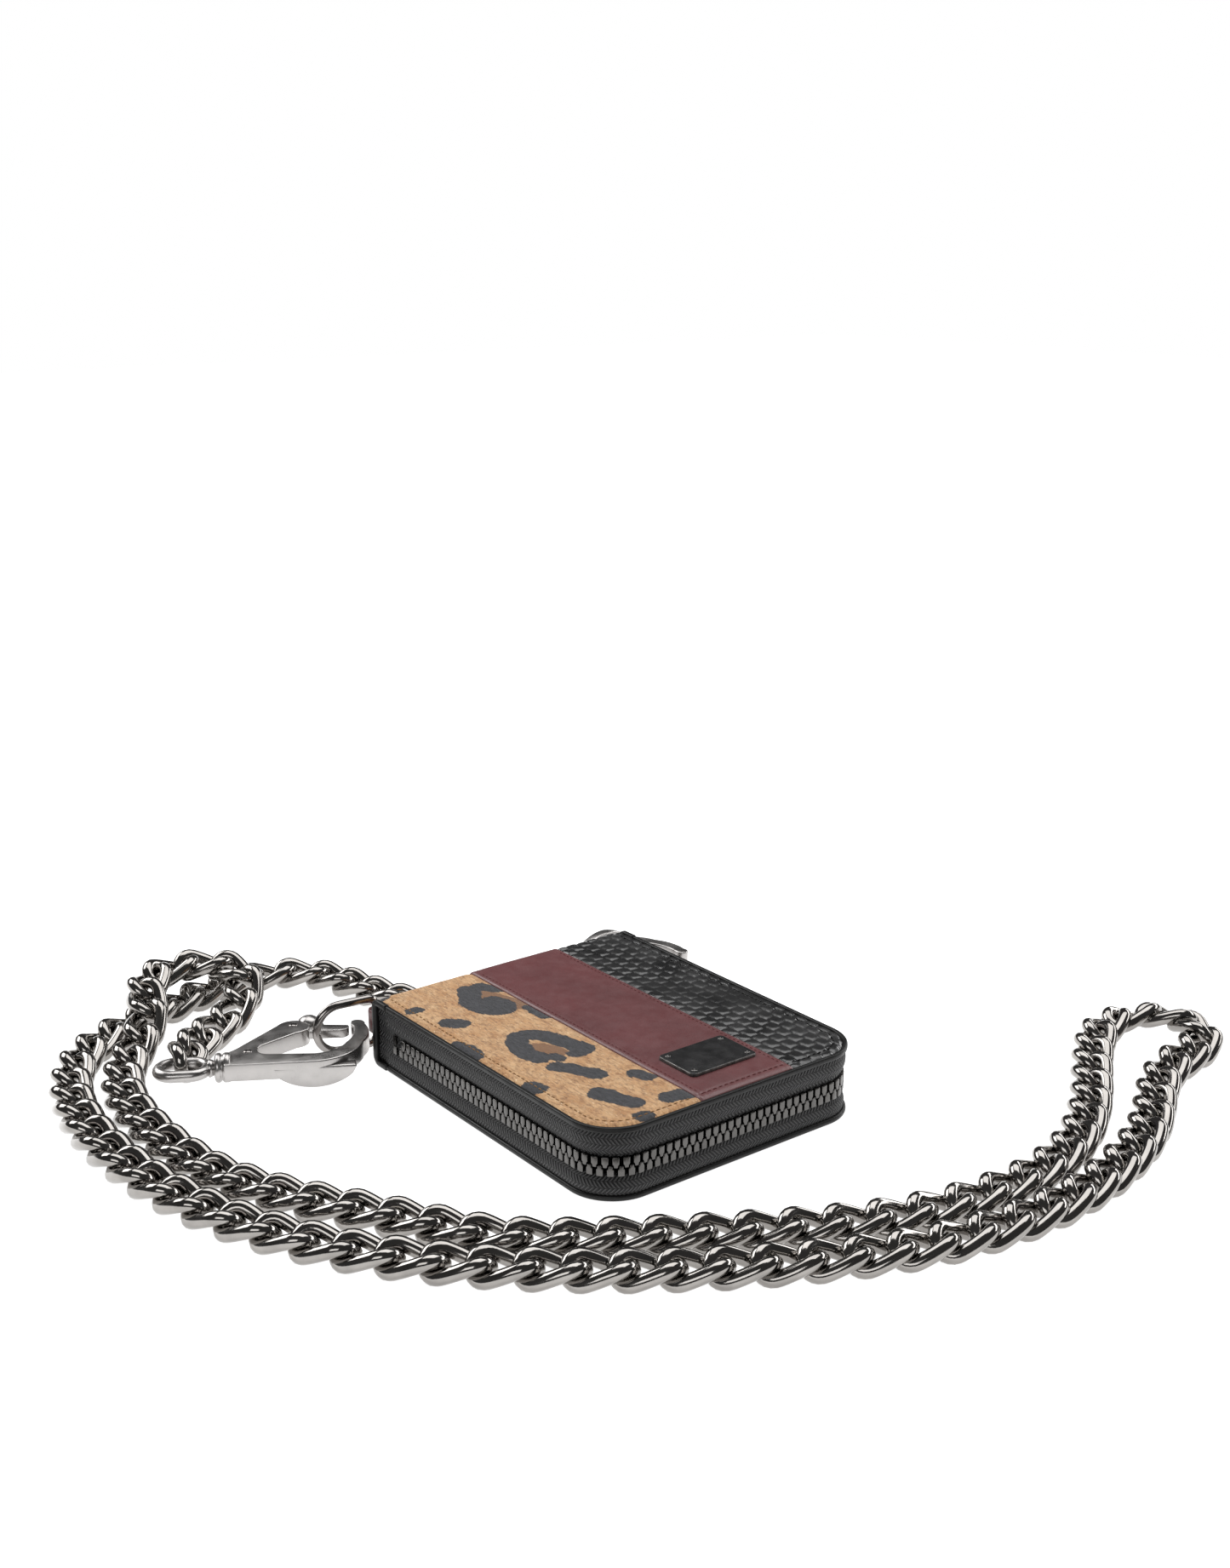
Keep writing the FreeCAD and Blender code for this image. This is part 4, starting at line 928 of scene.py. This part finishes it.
def skin(name, low, high, relief, material, nodes, step=0.6, thickness=1.05):
    """A stripe of the cover's skin, from the opening edge over the top and round the spine."""
    rows = int((high - low) / step) + 1
    top = int(115.4 / step)
    wrap = int(WRAP / step)
    outer, inner, places = [], [], []
    ys = [low + (high - low) * j / rows for j in range(rows + 1)]
    ys = sorted(set(ys + [y for k in (0.05, 0.12, 0.22, 0.38) for y in (low + k, high - k)]))
    for y in ys:
        end = east_end(y)
        for i in range(top + wrap + 1):
            t = (-57 - end) + (57 + end) * i / top if i <= top else WRAP * (i - top) / wrap
            x, z, nx, nz = round_spine(t)
            depth = outline_depth(x, y) if t <= 0 else 48.4 - abs(y)
            rise = relief(-57 - t, y, max(depth, 0.0))
            if t > 21.0:
                rise = min(rise, 0.0) if z > 0.5 else -0.02
            outer.append(Vector((x + nx * rise, y, z + nz * rise)))
            inner.append(Vector((x - nx * thickness, y, max(z - nz * thickness, 0.0))))
            places.append((-57 - t, y))
    made = piece(name, outer + inner, slab_faces(len(ys), top + wrap + 1), material, None, nodes, outward=True)
    bend_with_spine(made)
    return made, places + places


def edge_relief(depth):
    """The skin rolls down to the painted edge, swells behind it and is drawn in along the stitches."""
    return 0.34 * (1 - gauss(depth, 2.6)) - 0.5 * gauss(depth, 0.75) - 0.2 * gauss(depth - 3.0, 0.4)


def wave(x, y, size, seed=0.0):
    return noise.noise(Vector((x / size + seed, y / size, seed * 1.7)))


LEOPARD_SEAM, BURGUNDY_SEAM = -13.5, 21.0


def leopard_relief(x, y, depth):
    tucked = -0.42 * gauss(LEOPARD_SEAM - y, 0.9)
    return edge_relief(depth) + tucked + 0.1 * wave(x, y, 9) + 0.05 * wave(x, y, 2.2)


def burgundy_relief(x, y, depth):
    seam = min(y - LEOPARD_SEAM, BURGUNDY_SEAM - y)
    fold = 0.42 * (1 - gauss(seam, 0.5)) - 0.42 - 0.14 * gauss(seam - 1.7, 0.35)
    return edge_relief(depth) + 0.3 + fold + 0.12 * wave(x, y, 16, 3.0) - 0.06 * gauss(seam - 3.6, 1.3)


def black_relief(x, y, depth):
    """Pillowed cells in staggered rows, strong in the middle and pressed flat towards the corners."""
    cell_long, cell_wide = 5.1, 4.15
    xx = x + 0.55 * wave(x, y, 8, 5.0) + 0.045 * (y - 35) ** 2 * 0.35
    rows = (y + 0.45 * wave(x, y, 8, 9.0)) / cell_wide
    u = ((xx / cell_long + 0.5 * (math.floor(rows) % 2)) % 1.0) * 2 - 1
    v = (rows % 1.0) * 2 - 1
    cell = (1 - abs(u) ** 4) * (1 - abs(v) ** 4)
    lift = 0.5 + 0.5 * wave(x, y, 3.4, 2.0)
    strength = 0.48 * min(1.0, max(0.3, 0.9 + 1.1 * wave(x, y, 24, 7.0)))
    slope = 0.10 * u * (1 - abs(u) ** 5)
    tucked = -0.42 * gauss(y - BURGUNDY_SEAM, 0.9)
    return edge_relief(depth) + tucked + strength * ((cell - 0.8) * (0.8 + 0.4 * lift) + slope * 2)


leopard, leopard_places = skin("leopard_stripe", -48.4, -13.55, leopard_relief, LEOPARD, ["leopard_panel"])
skin("burgundy_stripe", -13.45, 20.95, burgundy_relief, BURGUNDY, ["burgundy_panel", "spine_leather"])
skin("embossed_stripe", 21.05, 48.4, black_relief, EMBOSSED, ["black_panel"], 0.42)

# Each spot is a line of points with the half width of the brush that paints it.
DARK_SPOTS = [
    (3.0, [(-46, -22.5), (-38, -27.5), (-30, -26.5), (-26, -22.8), (-29.5, -19.6), (-34.5, -21)]),
    (2.2, [(-46.5, -17.5), (-42, -14.6)]), (1.6, [(-43.5, -45.2), (-42.8, -43.6)]),
    (2.5, [(-28.6, -41.0), (-26.2, -38.8)]), (1.4, [(-59.2, -48), (-58.6, -46.4)]),
    (1.9, [(-14, -48), (-9, -46.6), (-5, -47.4)]),
    (2.8, [(8.4, -34.0), (2.8, -35.2), (-5, -32.6), (-8.2, -28.4), (-4.6, -24.2), (3, -21.4), (11.2, -19.6)]),
    (1.9, [(12.6, -19.6), (12.4, -23.6)]), (1.3, [(10.6, -30.0), (12.2, -29.4)]),
    (2.6, [(16.6, -33.2), (21.3, -30.2), (27.4, -27.2)]), (2.7, [(37.6, -34), (43, -32.2), (47.8, -30.2)]),
    (2.4, [(51.6, -20.4), (52.2, -15)]), (1.9, [(22, -46.4), (25, -45.4)]),
    (1.8, [(-23.4, -14.2), (-15.6, -14.6)]),
    (2.0, [(34, -18), (37.5, -16.6)]), (1.6, [(55.6, -33.5), (56.4, -31.5)]),
    (2.4, [(-64, -40), (-68, -36), (-72, -38)]), (2.2, [(-66, -22), (-71, -19), (-74, -23)]),
    (2.0, [(-79, -44), (-83, -41)]), (2.3, [(-80, -30), (-84, -26), (-82, -20)]),
]
BROWN_SPOTS = [(2.6, [(-40.5, -20.4), (-33.4, -17.6), (-27, -16.2)]), (2.9, [(2.5, -30), (8.2, -27.2)]),
               (2.2, [(-67, -38), (-70, -34)]), (2.2, [(-70, -23), (-73, -27)])]


def softened(line):
    """The same line with its corners cut twice."""
    for _ in range(2):
        cut = [line[0]]
        for a, b in zip(line, line[1:]):
            cut += [tuple(p * (1 - t) + q * t for p, q in zip(a, b)) for t in (0.25, 0.75)]
        line = cut + [line[-1]]
    return line


def spot_field(places, spots):
    """The distance in millimetres to the nearest spot's edge, less than nothing inside it."""
    points = np.array([(x + 0.7 * wave(x, y, 3.2, 11.0), y + 0.7 * wave(x, y, 3.2, 15.0))
                       for x, y in places])
    field = np.full(len(points), 50.0)
    for width, line in spots:
        line = softened(line)
        for a, b in zip(line, line[1:]):
            a, b = np.array(a, float), np.array(b, float)
            along = np.clip(((points - a) @ (b - a)) / max(float((b - a) @ (b - a)), 1e-9), 0, 1)
            away = np.linalg.norm(points - (a + along[:, None] * (b - a)), axis=1)
            field = np.minimum(field, away - width)
    return field


attribute(leopard, "spot", spot_field(leopard_places, DARK_SPOTS) - 0.3)
attribute(leopard, "brown", spot_field(leopard_places, BROWN_SPOTS))


def spine_band(name, y0, y1, depth0, depth1, material, start=-5.0, end=WRAP, steps=70, sides=12):
    """A band that follows the spine's C between two depths under its outside."""
    verts = []
    for i in range(steps + 1):
        x, z, nx, nz = round_spine(start + (end - start) * i / steps)
        for k in range(sides):
            c, s = (squared(value, 0.5) for value in turn_point(k, sides))
            y = (y0 + y1) / 2 + (y1 - y0) / 2 * c
            d = (depth0 + depth1) / 2 + (depth1 - depth0) / 2 * s
            verts.append(Vector((x - nx * d, y, max(z - nz * d, 0.02))))
    bend_with_spine(piece(name, verts, tube_faces(steps + 1, sides), material, outward=True))


spine_band("spine_edge_near", -49.9, -48.2, -0.3, 1.75, EDGE_PAINT)
spine_band("spine_edge_far", 48.2, 49.9, -0.3, 1.75, EDGE_PAINT)
spine_band("spine_inner_lining", -47.9, 47.9, 1.1, 1.55, LINING, -4.6, WRAP - 0.2)


def tape_tail(name, side, west, east=-45.8, rows=24, columns=16):
    """The zip tape's folded tail, tucked in between the last tooth and the spine."""
    verts = []
    for layer in (0, 1):
        for j in range(rows + 1):
            z = 1.6 + 18.9 * j / rows
            for i in range(columns + 1):
                u = i / columns
                bulge = 1.2 * math.sin(math.pi * j / rows) ** 2 * (0.35 + 0.65 * u)
                inset = 1.5 + bulge + 0.25 * math.sin(u * 9)
                verts.append(Vector((west + (east - west) * u, side * (50 - inset - 0.7 * layer), z)))
    made = piece(name, verts, slab_faces(rows + 1, columns + 1), ZIP_WEAVE, outward=True)
    attribute(made, "along", [v.x for v in verts])
    attribute(made, "across", [v.z for v in verts])
    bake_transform(made)


tape_tail("zip_tape_tail_near", -1, -59.0)
tape_tail("zip_tape_tail_far", 1, -55.5)


# ------------------------------------------------------------------ stitches
def stitches(name, line, material, body, length=1.5, pitch=2.1, thick=0.22):
    """Thread stitches laid along a line of (place, up) points."""
    places, ups = [p for p, _ in line], [u for _, u in line]
    walked = lengths_along(places)
    rings, sides = 7, 6
    verts, faces = [], []
    distance = pitch / 2
    while distance + length < walked[-1]:
        a, b = at_length(distance, walked, places), at_length(distance + length, walked, places)
        up = at_length(distance + length / 2, walked, ups).normalized()
        side = up.cross((b - a).normalized()).normalized()
        start = len(verts)
        for i in range(rings):
            t = i / (rings - 1)
            swell = thick * max(math.sin(math.pi * (0.06 + 0.88 * t)) ** 0.5, 0.05)
            lift = 0.12 * math.sin(math.pi * t) - 0.06
            for k in range(sides):
                c, s = turn_point(k, sides)
                verts.append(a + (b - a) * t + up * (lift + s * 0.8 * swell) + side * (c * swell))
        faces += tube_faces(rings, sides, start)
        distance += pitch
    piece(name, verts, faces, material, body, (), outward=True)


def opening_line(inset, low, high, relief):
    """The stitch line that runs inset from the skin's outline, between two y values, on the top."""
    line = []
    for place, outward, _ in outline_path(-56.5, 0.7):
        spot = place - outward * (1.6 + inset)
        if low <= spot.y <= high:
            rise = relief(spot.x, spot.y, inset)
            line.append((spot + Vector((0, 0, HEIGHT + rise + 0.06)), Vector((0, 0, 1))))
    return line


for label, low, high, relief, thread, slot in (
        ("leopard", -48.4, -14.0, leopard_relief, THREAD_TAN, "leopard_calf_hair"),
        ("burgundy", -13.0, 20.5, burgundy_relief, THREAD_BURGUNDY, "burgundy_leather"),
        ("embossed", 21.5, 48.4, black_relief, THREAD_DARK, "embossed_black_leather")):
    stitches(label + "_edge_stitches", opening_line(3.0, low, high, relief), thread, "upper_cover")
for label, y in (("near", LEOPARD_SEAM + 1.7), ("far", BURGUNDY_SEAM - 1.7)):
    seam = [(Vector((x, y, HEIGHT + burgundy_relief(x, y, outline_depth(x, y)) + 0.05)), UP)
            for x in np.arange(54.5, -55.5, -0.8)]
    stitches(label + "_seam_stitches", seam, THREAD_BURGUNDY, "upper_cover", 1.2, 1.9, 0.16)


# ------------------------------------------------------------------ flat leather and cloth parts
def soft_panel(name, x0, x1, y0, y1, low, high, material, body, nodes=(), corner=0.0, step=1.2, edge=0.25,
               relief=None, under=None):
    """A thin panel with rolled edges and relief above and below; corner rounds its x1 corners."""
    middle, half = (y0 + y1) / 2, (y1 - y0) / 2

    def spread(size):
        count = max(4, int(size / step))
        inner = [k / count for k in range(1, count)]
        return [0.0, 0.12 / count, 0.45 / count] + inner + [1 - 0.45 / count, 1 - 0.12 / count, 1.0]

    us, vs = spread(x1 - x0), spread(y1 - y0)
    top, bottom = [], []
    for v in vs:
        y = y0 + (y1 - y0) * v
        over = abs(y - middle) - (half - corner)
        end = x1 - corner + math.sqrt(max(corner ** 2 - over ** 2, 0.0)) if corner and over > 0 else x1
        for u in us:
            x = x0 + (end - x0) * u
            depth = min(x - x0, y - y0, y1 - y, end - x)
            if corner and over > 0:
                depth = min(x - x0, corner - math.hypot(max(x - x1 + corner, 0.0), over))
            roll = edge * gauss(max(depth, 0.0), 0.5)
            up = relief(x, y, depth) if relief else 0.0
            down = under(x, y, depth) if under else 0.0
            top.append(Vector((x, y, high - roll + up)))
            bottom.append(Vector((x, y, low + roll + down)))
    return piece(name, top + bottom, slab_faces(len(vs), len(us)), material, body, nodes, outward=True)


def stitch_groove(depth):
    return -0.12 * gauss(depth - 1.8, 0.3)


def back_relief(x, y, depth):
    return 0.13 * gauss(depth - 3.0, 0.35) + 0.03 + 0.03 * wave(x, y, 4)


soft_panel("back_cover_leather", -52.0, 58.35, -48.4, 48.4, 0.0, 1.4, BLACK_LEATHER, "wallet_base",
           ["lower_cover"], 13.4, 0.9, 0.3, under=back_relief)
for side, body, low in (("lower", "wallet_base", 2.4), ("upper", "upper_cover", 18.92)):
    soft_panel(side + "_lining_cloth", -52.0, 57.2, -47.0, 47.0, low, low + 0.68, LINING, body,
               [side + "_lining"], 12.2)


def card_pockets(label, body, side):
    """Four stepped pockets on one cover; side is 1 on the lower cover and -1 on the upper."""
    thick = 0.8
    for i in range(4):
        west = -34 + 12 * i
        low = 3.2 + 0.9 * i
        if side < 0:
            low = HEIGHT - low - thick

        def leaf(x, y, depth, west=west):
            swell = math.cos(y / 88 * math.pi) ** 0.5 if abs(y) < 44 else 0.0
            return side * (0.12 * gauss(x - west - 4.0, 2.2) * swell + stitch_groove(depth))

        soft_panel("%s_card_pocket_%d" % (label, i + 1), west, 52.0, -44.0, 44.0, low, low + thick,
                   INNER_LEATHER, body, [label + "_card_slots"] if i == 0 else [], 0.0, 1.1, 0.3,
                   **{"relief" if side > 0 else "under": leaf})
        face = low + thick + 0.02 if side > 0 else low - 0.02
        line = [(Vector((west + 1.8, y, face)), UP * side) for y in np.arange(-42.5, 42.6, 1.0)]
        stitches("%s_pocket_stitches_%d" % (label, i + 1), line, THREAD_DARK, body, 1.6, 2.4, 0.16)


card_pockets("lower", "wallet_base", 1)
card_pockets("upper", "upper_cover", -1)

soft_panel("coin_pocket_rear_wall", -58.2, 42.0, -43.0, 43.0, 7.2, 8.0, INNER_LEATHER, "wallet_base",
           ["coin_pocket_back"], 0, 1.2, 0.3, under=lambda x, y, d: -stitch_groove(d))
soft_panel("coin_pocket_front_wall", -58.2, 36.0, -43.0, 43.0, 11.6, 12.4, INNER_LEATHER, "wallet_base",
           ["coin_pocket_front"], 0, 1.2, 0.3,
           relief=lambda x, y, d: 0.25 * (1 - gauss(d, 9)) + stitch_groove(d) + 0.06 * wave(x, y, 12))
pocket_rim = [(Vector((x, -41.2, 12.42)), UP) for x in np.arange(-56, 34.3, 1.0)]
pocket_rim += [(Vector((34.2, y, 12.42)), UP) for y in np.arange(-41.2, 41.3, 1.0)]
pocket_rim += [(Vector((x, 41.2, 12.42)), UP) for x in np.arange(34.2, -56, -1.0)]
stitches("coin_pocket_stitches", pocket_rim, THREAD_DARK, "wallet_base", 1.6, 2.4, 0.17)

# The pleat's section, as (inset, height), and the three sides of the pocket that it follows.
PLEAT = [(0.1, 11.5), (0.3, 11.0), (1.05, 10.4), (1.15, 9.8), (0.4, 9.2), (1.1, 8.6), (0.2, 8.1),
         (-0.15, 8.2), (0.7, 8.65), (0.0, 9.2), (0.75, 9.8), (0.65, 10.3), (-0.1, 11.0), (-0.2, 11.5)]
pleat_line = ([(x, -42.7, 0, -1) for x in np.arange(36.0, -57.0, -1.5)]
              + [(-57.9, y, -1, 0) for y in np.arange(-41.8, 41.9, 1.5)]
              + [(x, 42.7, 0, 1) for x in np.arange(-57.0, 36.1, 1.5)])
pleat = [Vector((x - ox * inset, y - oy * inset, z)) for x, y, ox, oy in pleat_line for inset, z in PLEAT]
piece("coin_pocket_pleat", pleat, tube_faces(len(pleat_line), len(PLEAT)), LINING, "wallet_base",
      ["coin_pocket_gusset"], outward=True)

coin_tape = soft_panel("coin_zip_band", 36.0, 42.0, -42.0, 42.0, 10.7, 11.3, ZIP_WEAVE, "wallet_base",
                       ["coin_zip_tape"], 0, 0.8, 0.15)
attribute(coin_tape, "along", [v.co.y / MM for v in coin_tape.data.vertices])
attribute(coin_tape, "across", [v.co.x / MM for v in coin_tape.data.vertices])

# ------------------------------------------------------------------ the plate and its rivets
plate_outline = []
for cx, cy, first in ((45.3, 15.6, 0), (32.1, 15.6, 90), (32.1, -5.8, 180), (45.3, -5.8, 270)):
    for k in range(7):
        angle = math.radians(first + 15 * k)
        plate_outline.append(Vector((cx + 1.6 * math.cos(angle), cy + 1.6 * math.sin(angle))))
plate = mesh_piece("blank_metal_plate", [plate_mesh(plate_outline, 22.05, 23.6)], PLATE_METAL)
bevel(plate, 0.32, 4, 40)
plate_edge = []
for v in plate.data.vertices:
    x, y, z = v.co / MM
    rim = min(16.4 / 2 - abs(x - 38.7), 24.6 / 2 - abs(y - 4.9))
    plate_edge.append(1.0 if rim < 0.3 and z > 23.2 else 0.0)
attribute(plate, "rim", plate_edge)
settle(plate, "upper_cover", ["metal_plate"])
RIVET = [(-0.5, 0), (-0.5, 0.85), (0.02, 0.95), (0.2, 0.8), (0.33, 0.5), (0.38, 0.2), (0.24, 0.12), (0.24, 0.0)]
heads = [round_solid(RIVET, (x, y, 23.55), ACROSS, 20) for x in (32.7, 44.7) for y in (-5.2, 15.0)]
settle(mesh_piece("plate_rivet_heads", heads, TOOTH_METAL), "upper_cover", ["plate_rivets"])


# ------------------------------------------------------------------ the CAD's own hard parts
def dress(nodes, material, width=0.0):
    """Gives CAD nodes their material, and softens their sharp edges."""
    for node in nodes:
        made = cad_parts[node]
        made.data.materials.clear()
        made.data.materials.append(material)
        if width:
            round_edges(made, width)


dress(("zip_slider", "zip_slider_back", "zip_pull", "coin_zip_slider"), DARK_NICKEL, 0.2)
dress(("zip_stop_lower", "zip_stop_upper", "coin_zip_teeth"), TOOTH_METAL, 0.12)
dress(("lower_board", "upper_board"), BOARD)

# ------------------------------------------------------------------ floor
FLOOR = 3000.0
paper = Shader("floor_paper")
paper.bump(paper.noise(0.002, 3), 0.02, 0.0001)
paper.surface.inputs["Emission Color"].default_value = (1, 1, 1, 1)
paper.surface.inputs["Emission Strength"].default_value = 0.87
floor = shell("floor", [(-FLOOR, -FLOOR, 0), (FLOOR, -FLOOR, 0), (FLOOR, FLOOR, 0), (-FLOOR, FLOOR, 0)],
              [(0, 1, 2, 3)], paper.finish(base=(0.6, 0.6, 0.6), roughness=0.8))
